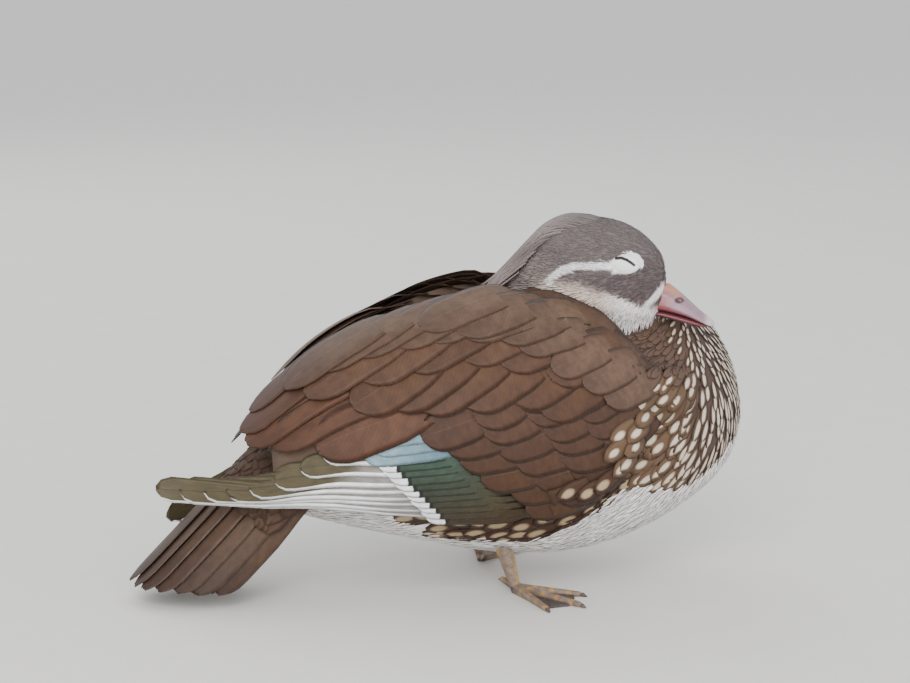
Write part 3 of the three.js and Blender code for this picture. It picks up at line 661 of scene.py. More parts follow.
def strewn(count, keep, spacing):
    """Roots among count tried places where keep is true, no nearer to each other than the spacing."""
    chosen = corner_table[draw.integers(len(corner_table), size=count)]
    s, t = draw.random((2, count, 1))
    corners = skin_points[chosen]
    points = ((corners[:, 0] * (1 - s) + corners[:, 1] * s) * (1 - t)
              + (corners[:, 3] * (1 - s) + corners[:, 2] * s) * t)
    points = points[keep(points)]
    gaps = spacing(points)
    tree = KDTree(len(points))
    for i, point in enumerate(points):
        tree.insert(point, i)
    tree.balance()
    free = np.ones(len(points), bool)
    kept = []
    for i, point in enumerate(points):
        if free[i]:
            kept.append(i)
            for _, j, _ in tree.find_range(point, gaps[i]):
                free[j] = False
    return points[kept]


def grown(roots, length, rows, *, sink, rise, sway):
    """Paths over the skin: (feather, row, 3) places and normals."""
    base, facing = on_skin(roots)
    swing = draw.normal(0, sway, len(roots))
    path, normal = [], []
    for row in range(rows):
        t = row / (rows - 1)
        path.append(base + facing * (sink + (rise - sink) * math.sqrt(t)))
        normal.append(facing)
        ahead = lie(base, facing)
        ahead = unit(ahead + np.cross(facing, ahead) * swing[:, None])
        base, facing = on_skin(base + ahead * (length / (rows - 1))[:, None])
    return np.stack(path, 1), np.stack(normal, 1)


def outline(length, half, rows, root=0.55, tip=0.12, reach=1.1):
    """Half widths of rounded feathers at each row."""
    steps = row_steps(rows)[None]
    start = 1 - np.clip(reach * half / length, 0.05, 0.8)[:, None]
    past = np.clip((steps - start) / (1 - start), 0, 1 - tip)
    swell = root + (1 - root) * smooth(0, 0.5, steps)
    return half[:, None] * swell * np.sqrt(1 - past ** 2)


print("faces to strew on", len(corner_table))

# %% [markdown]
# ## Plumage material
# A feather's vane is keratin: hundreds of fine barbs that lie side by side, matt, with a faint sheen.
# Barbs are finer than the picture can show, so they are drawn about a third of a millimetre apart. The
# pale drop or streak of a breast feather is an ellipse in the vane's own map, with a barb-ragged edge.

# %% Material of the body feathers
def barb_noise(material, across, along):
    """Streaks that run along the vane, so many across and along it, different on every feather."""
    seed = node(material, "Attribute", attribute_name="Seed").outputs["Fac"]
    shift = node(material, "CombineXYZ", seed, seed, seed)
    far = node(material, "VectorMath", shift, (37, 91, 53), operation="MULTIPLY")
    vane = node(material, "UVMap", uv_map="Vane")
    scaled = node(material, "VectorMath", vane, (across, along, 1), operation="MULTIPLY")
    place = node(material, "VectorMath", scaled, far, operation="ADD")
    return node(material, "TexNoise", Vector=place, Scale=1.0, Detail=2.0)


def plumage(name, *, roughness, across, along, contrast, sheen):
    """Soft body plumage that reads its colours and pale mark from the feather."""
    material, shader = new_material(name, roughness, Sheen_Weight=sheen, Sheen_Roughness=0.4,
                                    Specular_IOR_Level=0.2)
    barbs = barb_noise(material, across, along)
    ground = node(material, "Attribute", attribute_name="Ground")
    mark = node(material, "Attribute", attribute_name="Mark")
    spot = node(material, "Attribute", attribute_name="Spot").outputs["Vector"]
    spot = node(material, "SeparateXYZ", spot).outputs
    vane = node(material, "SeparateXYZ", node(material, "UVMap", uv_map="Vane")).outputs
    squares = []
    for place, middle, half in ((vane["X"], 0.5, spot["X"]), (vane["Y"], spot["Y"], spot["Z"])):
        half = node(material, "Math", half, 0.001, operation="MAXIMUM")
        off = node(material, "Math", place, middle, operation="SUBTRACT")
        share = node(material, "Math", off, half, operation="DIVIDE")
        squares.append(node(material, "Math", share, share, operation="MULTIPLY"))
    oval = node(material, "Math", *squares, operation="ADD")
    fray = node(material, "Math", barbs, 0.5, operation="MULTIPLY")
    frayed = node(material, "Math", oval, fray, operation="ADD")
    inside = node(material, "MapRange", frayed, 1.75, 0.7, 0.0, 0.9)
    marked = node(material, "Mix", inside, ground, mark, data_type="RGBA")
    light = node(material, "MapRange", barbs, 0.3, 0.7, 1 - contrast, 1 + contrast)
    return surface(material, shader, marked, light, barbs, 0.25, 0.0004)


# Firm vanes of breast, flank and shoulder: matt keratin, its barbs as fine streaks of light and shade,
# 26 over a vane 9 mm wide
contour_plumage = plumage("contour_feather_keratin", roughness=0.72, across=26, along=2.2,
                          contrast=0.12, sheen=0.03)
# Loose barbs without hooks, on belly and head: softer still, with less grain and more sheen at the
# edge, 7 streaks over a tuft 1.7 mm wide
down_plumage = plumage("soft_down_keratin", roughness=0.8, across=7, along=1.2, contrast=0.07,
                       sheen=0.06)


# %% Skin material and its markings
def grained(name, *, roughness, scale, light, strength, distance, detail=4, cells=0, **constants):
    """Skin or horn: painted ground with mottling and relief. light is the ramp (from, to, dark, bright).

    scale is how many grains stand on a metre: 500 gives grains of about 2 mm. cells adds scutes.
    """
    material, shader = new_material(name, roughness, **constants)
    place = node(material, "TexCoord").outputs["Object"]
    noise = node(material, "TexNoise", Vector=place, Scale=scale, Detail=detail)
    height = noise
    if cells:
        scutes = node(material, "TexVoronoi", Vector=place, Scale=cells)
        height = node(material, "Math", noise, scutes, operation="SUBTRACT")
    ground = node(material, "Attribute", attribute_name="Ground")
    return surface(material, shader, ground, node(material, "MapRange", noise, *light), height,
                   strength, distance)


# Bird skin under a mat of down and feather roots: no gloss at all, and mottled
skin_paint = grained("feathered_bird_skin", roughness=0.85, scale=900, detail=3,
                     light=(0, 1, 0.7, 1.1), strength=0.3, distance=0.0004)
skin.data.materials.append(skin_paint)
skin_corners = np.empty(len(skin.data.loops), np.int32)
skin.data.loops.foreach_get("vertex_index", skin_corners)
lay_map(skin.data, "OFBake", unwrap(skin_points), skin_corners)
store(skin.data, "Ground", "FLOAT_COLOR", dress(skin_points, np.full(len(skin_points), 0.5))[0])
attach(skin, "root")
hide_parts(*FLESH)
print("materials", [material.name for material in bpy.data.materials])

# %% [markdown]
# ## The folded wing's surface
# Wing feathers don't lie on the skin but on a smooth surface of their own, the one that the solids'
# vanes follow: a side that bulges over the flank and runs out past the tail. A place on it is given
# by how far along the bird it is and by an angle from straight up.

# %% Wing surface
# Place along the bird, lowest and highest point of the wing's surface there, and half its width
WING_COVER = [
    (62, 15, 145, 61.5), (30, 8, 147.5, 65.5), (0, 9, 148, 66), (-30, 16, 143, 64), (-60, 24, 131, 59),
    (-90, 32, 117, 51), (-110, 36, 102, 44), (-125, 39, 88, 37), (-145, 46, 74, 29), (-172, 54, 64, 21)]
# Upper and lower edge of the wing at each place along the bird, in degrees from straight up
WING_TOP_EDGE = through([(56, 66), (30, 42), (0, 27), (-40, 14), (-80, 9), (-110, 12), (-128, 40)])
WING_LOW_EDGE = through([(56, 74), (46, 92), (30, 106), (0, 116), (-50, 121), (-95, 119), (-128, 104)])
RIGHT, LEFT = -1, 1
SIDES = ((RIGHT, "right"), (LEFT, "left"))
LEFT_WING_DROP = 24               # the left wing's tip hangs lower and ends further in front
LEFT_WING_SHORT = 12
WING_FRONT = 60
WING_HIND = -118
cover_low = through([(c[0], c[1]) for c in WING_COVER])
cover_high = through([(c[0], c[2]) for c in WING_COVER])
cover_half = through([(c[0], c[3]) for c in WING_COVER])


def cover_place(side, x, degrees):
    """Place on the wing's surface, at x along the bird and turned this far from straight up."""
    x, degrees = np.broadcast_arrays(np.asarray(x, float), np.asarray(degrees, float))
    low, high, angle = cover_low(x), cover_high(x), np.radians(degrees)
    behind = np.clip((-70 - x) / 100, 0, 1) if side == LEFT else 0 * x
    height = (low + high) / 2 + (high - low) / 2 * np.cos(angle) - LEFT_WING_DROP * behind ** 1.5
    return np.stack([x + LEFT_WING_SHORT * behind ** 2, side * cover_half(x) * np.sin(angle), height], -1)


def on_cover(side, x, degrees, lift):
    """Places over the wing's surface and its outward normals."""
    here = cover_place(side, x, degrees)
    out = unit(np.cross(cover_place(side, x + 1, degrees) - here, cover_place(side, x, degrees + 1) - here))
    out = out * np.where(out[..., 1:2] * side < 0, -1, 1)
    return here + out * np.asarray(lift)[..., None], out


def wing_angle(points):
    """Angle from straight up at which a body place lies under the wing's surface."""
    x = points[:, 0]
    middle, tall = (cover_low(x) + cover_high(x)) / 2, (cover_high(x) - cover_low(x)) / 2
    return np.degrees(np.arctan2(np.abs(points[:, 1]) / cover_half(x), (points[:, 2] - middle) / tall))


def under_wing(points, margin):
    """True where the folded wing hides the body by more than the margin, in degrees."""
    x, angle = points[:, 0], wing_angle(points)
    inside = (angle > WING_TOP_EDGE(x) + margin) & (angle < WING_LOW_EDGE(x) - margin)
    return inside & (x < WING_FRONT) & (x > WING_HIND)


print("wing surface from", WING_COVER[0][0], "to", WING_COVER[-1][0])

# %% [markdown]
# ## Breast, flank and shoulder
# Broad contour feathers, each a little wider than the gap to the next. They are largest on the flank
# and smallest under the bill, where the pale drops draw out to streaks. At the wing's front they leave
# the skin and lie over the wing's edge, as a resting duck tucks its wings under them.

# %% Sizes of the contour feathers
CONTOUR_ROWS = 7
CONTOUR_TRIES = 26000             # places tried on each side
BACK_HIDDEN = -90                 # behind this the folded wings no longer hide the back
# Rear ends of the breast feathers that lie on the wing, as x at each height
WING_OVERLAP = through([
    (40, 15), (52.6, 21), (60, 25), (71, 38.5), (78, 42), (94, 46), (101, 48), (110, 52), (126, 40)])


def body_only(points):
    return head_cover(points) < 0.4


def is_white(points):
    return points[:, 2] < WHITE_TOP(points[:, 0])


def contour_size(points):
    """Spacing, length and half width of contour feathers by place."""
    x, z = points[:, 0], points[:, 2]
    front = smooth(60, 104, x)
    high = smooth(90, 114, z) * smooth(32, 58, x)
    flank = (x < 47) & (x > -72) & (z < 62)
    spacing = 7.4 - 4.6 * np.maximum(front, high)
    length = 16 - 4 * front - 6 * high
    half = 4.6 - 3.1 * np.maximum(front, high)
    beside_wing = smooth(92, 80, x) * smooth(44, 54, x) * smooth(122, 112, z)
    spacing = spacing * (1 - 0.35 * beside_wing)
    length = length + 2.5 * beside_wing
    return np.where(flank, 8.0, spacing), np.where(flank, 20, length), np.where(flank, 5.2, half)


# %% Breast feathers that lie over the wing's front
OVER_WING_LIFT = 0.6              # over the wing's surface, and more where its tiers begin
OVER_WING_RIDGE = 3.8
OVER_WING_ROOF = 1.2              # from a feather's root to its tip, so that each roofs the next
TOO_FAR, NEAR_ENOUGH = 22, 12     # from the skin to the wing, for a feather to reach over


def over_wing(side, path, facing):
    """Lifts the feathers of the breast that reach the wing's front over its edge."""
    flat = path.reshape(-1, 3)
    x, angle = flat[:, 0], wing_angle(flat)
    depth = np.minimum(angle - WING_TOP_EDGE(x), WING_LOW_EDGE(x) - angle)
    share = (smooth(-12, 0, depth) * smooth(92, 58, x) * (x > 5))[:, None]
    along = np.tile(row_steps(CONTOUR_ROWS), len(path))
    ridge = smooth(12, 1, x - WING_OVERLAP(flat[:, 2])) * smooth(-9, 3, depth)
    lift = OVER_WING_LIFT + OVER_WING_RIDGE * ridge + OVER_WING_ROOF * along
    place, out = on_cover(side, x, angle, lift)
    share = share * smooth(TOO_FAR, NEAR_ENOUGH, np.linalg.norm(place - flat, axis=-1))[:, None]
    over = flat * (1 - share) + place * share
    turned = unit(facing.reshape(-1, 3) * (1 - share) + out * share)
    return over.reshape(path.shape), turned.reshape(path.shape)


# %% Contour feathers of the front and the sides
def contour_tract(name, side, keep):
    """One side's contour feathers; their colours are read a little before the tip."""
    roots = strewn(CONTOUR_TRIES, keep, lambda points: contour_size(points)[0])
    _, length, half = contour_size(roots)
    length = length * draw.uniform(0.9, 1.1, len(roots))
    path, facing = grown(roots, length, CONTOUR_ROWS, sink=-0.6, rise=0.7, sway=0.08)
    path, facing = over_wing(side, path, facing)
    near_tip = path[:, -3]
    seen = ~is_white(near_tip) & (head_cover(near_tip) < 0.35)
    roots, path, facing, length, half = [part[seen] for part in (roots, path, facing, length, half)]
    ground, mark, shape = dress(near_tip[seen], draw.random(len(roots)))
    jag = draw.normal(0, 0.5, (len(roots), 5)) * (half[:, None] / 4)
    piece = feathers(name, path, facing, outline(length, half, CONTOUR_ROWS), contour_plumage,
                     ground, mark, shape, draw.random(len(roots)), thick=0.18,
                     camber=30.0, taper=0.9, jag=jag, roots=roots)
    print(name, len(roots), "feathers", len(piece.data.polygons), "faces")


for side, label in SIDES:
    def keep(points):
        own = points[:, 1] * side >= 0
        x, z = points[:, 0], points[:, 2]
        hidden = under_wing(points, 9) & (x > BACK_HIDDEN) & (x - 12 < WING_OVERLAP(z - 6))
        return own & body_only(points) & ~is_white(points) & ~hidden
    contour_tract(f"contour_feathers_{label}", side, keep)

# %% [markdown]
# ## White belly and undertail
# The belly is dense, soft and close. Short narrow tufts do for it what the broad contour feathers
# do above: they break the outline and catch a little light, and their mesh stays small.

# %% Belly tufts
def always(value):
    return lambda points: np.full(len(points), float(value))


def tuft_tract(name, keep, *, count, spacing, length, half, rise, sway=0.2,
               thick=0.16, rows=4):
    """Narrow pointed tufts; spacing, length and half width may each depend on the place."""
    roots = strewn(count, keep, spacing)
    reach = length(roots) * draw.uniform(0.85, 1.15, len(roots))
    path, facing = grown(roots, reach, rows, sink=-0.35, rise=rise, sway=sway)
    ground = dress(path[:, rows // 2], draw.random(len(roots)))[0]
    ground = ground * draw.normal(1, 0.04, (len(roots), 1)).clip(0.88, 1.12)
    wide = outline(reach, half(roots), rows, root=0.7, tip=0.06, reach=3.0)
    piece = feathers(name, path, facing, wide, down_plumage, ground, None, None,
                     draw.random(len(roots)), thick=thick, columns=3, camber=8.0, roots=roots)
    print(name, len(roots), "tufts", len(piece.data.polygons), "faces")


for side, label in SIDES:
    def keep(points):
        own = points[:, 1] * side >= 0
        low = points[:, 2] < WHITE_TOP(points[:, 0]) + 2
        return own & body_only(points) & low & ~under_wing(points, 9)
    tuft_tract(f"belly_down_{label}", keep, count=50000, spacing=always(1.65), length=always(7.5),
               half=always(0.85), rise=1.1)

# %% [markdown]
# ## Head plumage
# The head's feathers are so short and narrow that they read as fur: less than a millimetre wide, laid
# back from the bill. On the cheek they grow longer and end in a pale ragged fringe over the breast.
# The lids stay bare of them.

# %% Head tufts
def cheek_share(points):
    """0 on the crown and 1 on the cheek, where the tufts are longer."""
    h = to_head(points)
    return smooth(-6, -18, h[:, 2] + 0.25 * h[:, 0])


for side, label in SIDES:
    def keep(points):
        h = to_head(points)
        bare = lid_ring(h) <= 1.02
        return (h[:, 1] * side >= 0) & (head_cover(points) > 0.5) & ~bare & (h[:, 0] > -60)

    def on_cheek(points):
        return keep(points) & (cheek_share(points) > 0.3)

    def on_crown(points):
        return keep(points) & (cheek_share(points) <= 0.3)

    tuft_tract(f"crown_plumage_{label}", on_crown, count=120000, spacing=always(0.62),
               length=always(3.1), half=always(0.33), rise=0.42, sway=0.1,
               thick=0.1, rows=3)
    tuft_tract(f"cheek_plumage_{label}", on_cheek, count=80000, spacing=always(0.7),
               length=lambda points: 4.0 + 4.5 * cheek_share(points), half=always(0.36), rise=0.8,
               sway=0.12, thick=0.1)

# %% [markdown]
# ## Wings
# A folded wing is a stack of tiers. The primaries make the point behind, the secondaries the green
# mirror with its white rear edge, the long tertials and the scapulars cover both from above, and the
# coverts roof the front. Each feather is bent to the wing's surface, with its lower edge over the
# next feather, and is patterned in its own map.

# %% Paths of wing feathers
WING_ROWS = 14
HIDDEN_ROOT = 9.0                 # how far a feather runs on under the tier before it
FOREMOST = 62                     # no wing feather starts further in front
SUNK_FRONT = 7.5                  # how deep hidden fronts lie under the breast feathers


def between(ends, i, k):
    """Term i of a pair of ends, from the first at k = 0 to the second at k = 1."""
    return ends[0][i] + (ends[1][i] - ends[0][i]) * k


def tier_paths(side, *, count, roots, tips, half, lift, tilt, bend=0, bow=0, reach=0, varied=1.6):
    """Paths, normals, half widths and tilts of one tier, from its first feather to its last.

    roots and tips are places (along the bird, degrees from straight up) of the first and the last
    feather. lift goes from root to tip. bend curves the first vanes down, bow and reach carry the
    middle ones lower and further back, and varied is how uneven the tips are.
    """
    k = np.linspace(0, 1, count)[:, None]
    t = row_steps(WING_ROWS)[None]
    arc = np.sin(np.pi * k)
    from_x, from_angle = [between(roots, i, k) for i in (0, 1)]
    to_x, to_angle = [between(tips, i, k) for i in (0, 1)]
    to_x = to_x + draw.uniform(-0.5, 0.5, (count, 1)) * varied - reach * arc
    to_angle = to_angle + bow * arc + draw.uniform(-0.5, 0.5, (count, 1)) * varied * 0.4
    hidden = HIDDEN_ROOT / (from_x - to_x)
    from_x, from_angle = (from_x + (from_x - to_x) * hidden,
                          from_angle + (from_angle - to_angle) * hidden)
    x = np.minimum(from_x + (to_x - from_x) * t, FOREMOST)
    angle = from_angle + (to_angle - from_angle) * t + bend * (1 - k) * np.sin(np.pi * t)
    rise = lift[0] + (lift[1] - lift[0]) * smooth(0, 0.3, t) + 0 * k
    covered = smooth(0, 8, x - WING_OVERLAP(cover_place(side, x, angle)[..., 2]))
    path, facing = on_cover(side, x, angle, rise - SUNK_FRONT * covered)
    width = (half[0] + (half[1] - half[0]) * k[:, 0]) * draw.uniform(0.9, 1.1, count)
    length = np.linalg.norm(path[:, -1] - path[:, 0], axis=-1)
    wide = outline(length, width, WING_ROWS, root=0.6, tip=0.03, reach=1.15)
    return path, facing, wide, np.full(count, -side * math.tan(math.radians(tilt)))


# %% [markdown]
# ## Patterns of the long feathers
# Each long feather carries its own pattern: a silver margin, a green mirror with a black bar and a
# white end, or a pale rim round a brown vane. A pattern is painted as coats over a ground, each coat
# where smooth ramps across or along the vane lead it. Barbs slant from the shaft to the edge. They
# are drawn a few millimetres apart, much coarser than real, because finer ones would not show.

# %% Coats of colour on a vane
BARB_WAVES = 150                  # radians of the barbs' wave along one vane, which makes 24 of them
BARB_SLANT = 70                   # radians that it lags for one width of the vane
BARB_WOBBLE = 5
FULL = (0.0, 1.0)


def ramped(material, places, place, start, end, low, high):
    """Share that goes smoothly from low at start to high at end, along one of the vane's places."""
    return node(material, "MapRange", places[place], start, end, low, high,
                interpolation_type="SMOOTHSTEP")


def toned(material, places, tone):
    """A coat's tone: hex text, the name of a feather's own colour, or a ground with coats."""
    if isinstance(tone, tuple):
        return coated(material, places, *tone)
    if tone.startswith("#"):
        return rgba(tone)
    return node(material, "Attribute", attribute_name=tone)


def coated(material, places, ground, coats):
    """Lays coats over a ground: each is a tone and the ramps of which the strongest counts."""
    below = toned(material, places, ground)
    for tone, *ramps in coats:
        share = None
        for ramp in ramps:
            step = ramped(material, places, *ramp)
            share = node(material, "Math", share, step, operation="MAXIMUM") if share else step
        below = node(material, "Mix", share, below, toned(material, places, tone), data_type="RGBA")
    return below


def frayed_end(material, places):
    """The vane's end as uneven as its barbs."""
    uneven = node(material, "Math", places["noise"], 0.02, operation="MULTIPLY")
    places["frayed"] = node(material, "Math", places["along"], uneven, operation="ADD")


def outer_web(material, places):
    """How far past the border of the silver web, which narrows towards the tip."""
    border = ramped(material, places, "along", 0.62, 0.85, 0.8, 0.89)
    places["outer"] = node(material, "Math", places["across"], border, operation="SUBTRACT")


def vane_material(name, roughness, ground, coats, prepare=None):
    """Wing or tail vane: coats of colour, with slanted barbs as its grain and relief."""
    material, shader = new_material(name, roughness, Sheen_Weight=0.03, Sheen_Roughness=0.35,
                                    Specular_IOR_Level=0.25)
    vane = node(material, "SeparateXYZ", node(material, "UVMap", uv_map="Vane")).outputs
    noise = barb_noise(material, 5, 14)
    off = node(material, "Math", vane["X"], 0.5, operation="SUBTRACT")
    aside = node(material, "Math", off, operation="ABSOLUTE")
    places = {"across": vane["X"], "along": vane["Y"], "aside": aside, "noise": noise}
    if prepare:
        prepare(material, places)
    waves = node(material, "Math", vane["Y"], BARB_WAVES, operation="MULTIPLY")
    back = node(material, "Math", aside, BARB_SLANT, operation="MULTIPLY")
    slant = node(material, "Math", waves, back, operation="SUBTRACT")
    wobble = node(material, "Math", noise, BARB_WOBBLE, operation="MULTIPLY")
    barbs = node(material, "Math", node(material, "Math", slant, wobble, operation="ADD"), operation="SINE")
    grain = node(material, "Math", barbs, 0.05, operation="MULTIPLY")
    streaks = ramped(material, places, "noise", 0.25, 0.75, 0.84, 1.16)
    light = node(material, "Math", grain, streaks, operation="ADD")
    shaft = ramped(material, places, "aside", 0.0, 0.035, 1.0, 0.0)
    relief = node(material, "Math", barbs, 0.12, operation="MULTIPLY")
    height = node(material, "Math", relief, shaft, operation="ADD")
    return surface(material, shader, coated(material, places, ground, coats), light, height, 0.4, 0.0002)


# %% Materials of wing and tail
# Brown melanin in keratin with a thin worn rim and a pale shaft; painted shade darkens tip and edges
brown_vane = vane_material("brown_covert_keratin", 0.6, "Ground", [
    ("#3a2620", ("along", 0.5, 1.0, 0, 0.5), ("aside", 0.1, 0.5, 0, 0.35)),
    ("Mark", ("aside", 0.48, 0.5, 0, 0.1), ("along", 0.985, 1.0, 0, 0.12)),
    ("Mark", ("aside", 0.0, 0.014, 0.14, 0.0))])
# Stiff flight feather: grey to olive inner web, smooth silver outer web, dark glossy shaft
SILVER_WEB = ("#b9bcc0", [("#f1f2f4", ("along", 0.1, 0.45, *FULL))])
primary_vane = vane_material("silver_edged_primary_keratin", 0.5, "#857f7b", [
    ("#4b4330", ("along", 0.5, 0.72, *FULL)),
    (SILVER_WEB, ("outer", 0.0, 0.04, *FULL)),
    ("#2e2a26", ("aside", 0.0, 0.03, 0.6, 0.0))], outer_web)
# Structural green of the mirror: smooth barbs that shine more than any other, black bar, white end
mirror_vane = vane_material("glossy_mirror_keratin", 0.34, "Ground", [
    ("#26302c", ("along", 0.45, 0.74, 0.0, 0.2)),
    ("#1c1a1b", ("along", 0.79, 0.81, 0.0, 0.8)),
    ("#eceef0", ("frayed", 0.84, 0.855, *FULL))], frayed_end)
# Inner secondaries: powdery grey-blue, paler at the edges
blue_vane = vane_material("pale_blue_keratin", 0.45, "#56727f", [
    ("#7e98a3", ("along", 0.3, 1.0, *FULL)),
    ("#a9bcc3", ("aside", 0.4, 0.5, 0, 0.4))])
# Stiff tail feather: grey-brown with a paler edge and a dark shaft
tail_vane = vane_material("tail_keratin", 0.55, "#483528", [
    ("#382820", ("along", 0.4, 1.0, *FULL)),
    ("#7d6b5e", ("aside", 0.38, 0.5, 0, 0.35)),
    ("#34261f", ("aside", 0.0, 0.04, 0.7, 0.0))])
print("materials", len(bpy.data.materials))

# %% Tiers of the folded wing
# Material, tones of the first and the last feather, and the tier's plan for tier_paths
WING_TIERS = [
    # Primaries: the folded point
    (primary_vane, ("#555045", "#555045"), dict(
        count=8, roots=[[-46, 121], [-52, 92]], tips=[[-171, 87], [-98, 84]], half=[6.2, 6.2],
        bend=9, bow=9, lift=[-1, 1.0], tilt=9)),
    # Outer secondaries: the mirror
    (mirror_vane, ("#3c2f1e", "#32463c"), dict(
        count=11, roots=[[-8, 119], [-38, 90]], tips=[[-50, 124], [-77, 90]], half=[5.4, 5.4],
        lift=[-1.2, 2.0], tilt=2.6, varied=0.6)),
    # Inner secondaries
    (blue_vane, ("#84a8b4", "#8fb3bd"), dict(
        count=4, roots=[[-38, 88], [-37, 76]], tips=[[-79, 89], [-72, 73]], half=[5.6, 6.2],
        lift=[-1.2, 2.3], tilt=3)),
    # Tertials
    (brown_vane, ("#563827", "#4b3223"), dict(
        count=5, roots=[[-46, 66], [-50, 14]], tips=[[-100, 78], [-122, 14]], half=[12.5, 10],
        reach=18, lift=[-1.2, 2.7], tilt=3)),
    # Greater, median and lesser coverts, and the small ones of the wing's front
    (brown_vane, ("#412d1c", "#432c1f"), dict(
        count=6, roots=[[20, 109], [-26, 77]], tips=[[-5, 114], [-55, 81]], half=[10, 11],
        lift=[-1.4, 3.0], tilt=2.0, varied=8)),
    (brown_vane, ("#3f2b1e", "#462e20"), dict(
        count=6, roots=[[34, 102], [-10, 70]], tips=[[8, 107], [-34, 76]], half=[10, 12],
        lift=[-1.4, 3.2], tilt=2.0, varied=9)),
    (brown_vane, ("#3d291d", "#462e20"), dict(
        count=6, roots=[[45, 95], [8, 64]], tips=[[18, 99], [-14, 72]], half=[9.5, 12],
        lift=[-1.4, 3.4], tilt=2.0, varied=9)),
    (brown_vane, ("#422c1f", "#422c1f"), dict(
        count=6, roots=[[55, 84], [28, 60]], tips=[[37, 92], [8, 70]], half=[8.5, 10],
        lift=[-1.4, 3.7], tilt=1.9, varied=6)),
    # Scapulars in three tiers, and the shoulder
    (brown_vane, ("#483020", "#4d3423"), dict(
        count=6, roots=[[34, 62], [-40, 44]], tips=[[2, 75], [-86, 62]], half=[11.5, 13],
        lift=[-1.4, 4.05], tilt=2.0, varied=9)),
    (brown_vane, ("#4f3728", "#533b2b"), dict(
        count=6, roots=[[42, 50], [-48, 28]], tips=[[6, 62], [-98, 42]], half=[11.5, 13],
        lift=[-1.4, 4.35], tilt=1.9, varied=9)),
    (brown_vane, ("#5b4738", "#554031"), dict(
        count=7, roots=[[26, 36], [-54, 15]], tips=[[-14, 44], [-108, 25]], half=[11, 12.5],
        lift=[-1.4, 4.65], tilt=1.9, varied=8)),
    (brown_vane, ("#574336", "#594537"), dict(
        count=7, roots=[[56, 66], [-2, 24]], tips=[[34, 74], [-46, 32]], half=[8.5, 11.5],
        lift=[-1.6, 4.95], tilt=1.9, varied=7)),
    # Inner edge of the wing, which closes it against the back
    (brown_vane, ("#4d392b", "#4a372a"), dict(
        count=8, roots=[[61, 78], [34, 36]], tips=[[50, 60], [6, 18]], half=[8, 10],
        lift=[-8.0, -1.4], tilt=-4, varied=4)),
    (brown_vane, ("#4d392b", "#4a372a"), dict(
        count=8, roots=[[40, 46], [-66, 6]], tips=[[6, 24], [-114, 13]], half=[9, 10],
        lift=[-5.0, 0.6], tilt=-6, varied=6)),
]
RIM = linear("#7d6657")
WING_DOWN = linear("#5a483b")
PAD_ACROSS, PAD_ALONG = 14, 30    # points of the cushion under the vanes
PAD_FRONT, PAD_REAR = 54, -120
PAD_LIFT, PAD_THICK = -1.0, 5.0   # from the wing's surface


def wing_pad(side, label):
    """Closed cushion that carries the vanes, dark like the down between their roots."""
    across, along = PAD_ACROSS, PAD_ALONG
    u, v = np.meshgrid(np.linspace(PAD_FRONT, PAD_REAR, along), np.linspace(0, 1, across), indexing="ij")
    angle = WING_TOP_EDGE(u) + (WING_LOW_EDGE(u) - WING_TOP_EDGE(u)) * v
    fade = np.sin(np.pi * np.clip(np.linspace(0, 1, along), 0.02, 0.98))[:, None] ** 0.4
    outer = on_cover(side, u, angle, PAD_LIFT + 0 * u)[0].reshape(-1, 3)
    inner = on_cover(side, u, angle, PAD_LIFT - PAD_THICK * fade + 0 * u)[0].reshape(-1, 3)
    cells = [(i * across + j, i * across + j + 1, (i + 1) * across + j + 1, (i + 1) * across + j)
             for i in range(along - 1) for j in range(across - 1)]
    shift = along * across
    faces = [f for a, b, c, d in cells for f in ((a, b, c), (a, c, d))]
    faces += [(shift + f[0], shift + f[2], shift + f[1]) for f in faces]
    border = [i * across for i in range(along)]
    border += [(along - 1) * across + j for j in range(1, across)]
    border += [i * across + across - 1 for i in range(along - 2, -1, -1)]
    border += list(range(across - 2, 0, -1))
    for a, b in zip(border, border[1:] + border[:1]):
        faces += [(a, b, b + shift), (a, b + shift, a + shift)]
    faces = np.array(faces)
    if side == LEFT:
        faces = faces[:, ::-1]
    points = np.concatenate([outer, inner])
    mesh_of(f"wing_down_{label}", points, faces, skin_paint, {"OFBake": unwrap(points)},
            {"Ground": ("FLOAT_COLOR", np.tile(WING_DOWN, (len(points), 1)))})


for side, label in SIDES:
    wing_pad(side, label)
    made = {}
    for material, tones, plan in WING_TIERS:
        tier = tier_paths(side, **plan)
        ground = blend(linear(tones[0]), linear(tones[1]), np.linspace(0, 1, len(tier[0])))
        made.setdefault(material.name, []).append((*tier, ground, material))
    for key, tiers in made.items():
        path, facing, wide, tilt, ground = [np.concatenate([t[i] for t in tiers]) for i in range(5)]
        count = len(ground)
        ground = ground * draw.normal(1, 0.07, (count, 1)).clip(0.85, 1.15)
        name = f"wing_{label}_{key.rsplit('_', 1)[0]}"
        feathers(name, path, facing, wide, tiers[0][-1], ground,
                 np.tile(RIM, (count, 1)), None, draw.random(count), thick=0.16, columns=9,
                 under=(0.6, 0.0, -0.6), camber=90.0, taper=0.9, tilt=tilt,
                 jag=draw.normal(0, 0.2, (count, 9)), flip=side == LEFT, replaced=(f"wing_{label}",))
        print(name, count, "feathers")

# %% [markdown]
# ## Tail
# The tail droops behind the wings as a narrow roof of stiff feathers, the middle pair on top and
# longest. Its root hides under the coverts of the rump above and the white undertail below.

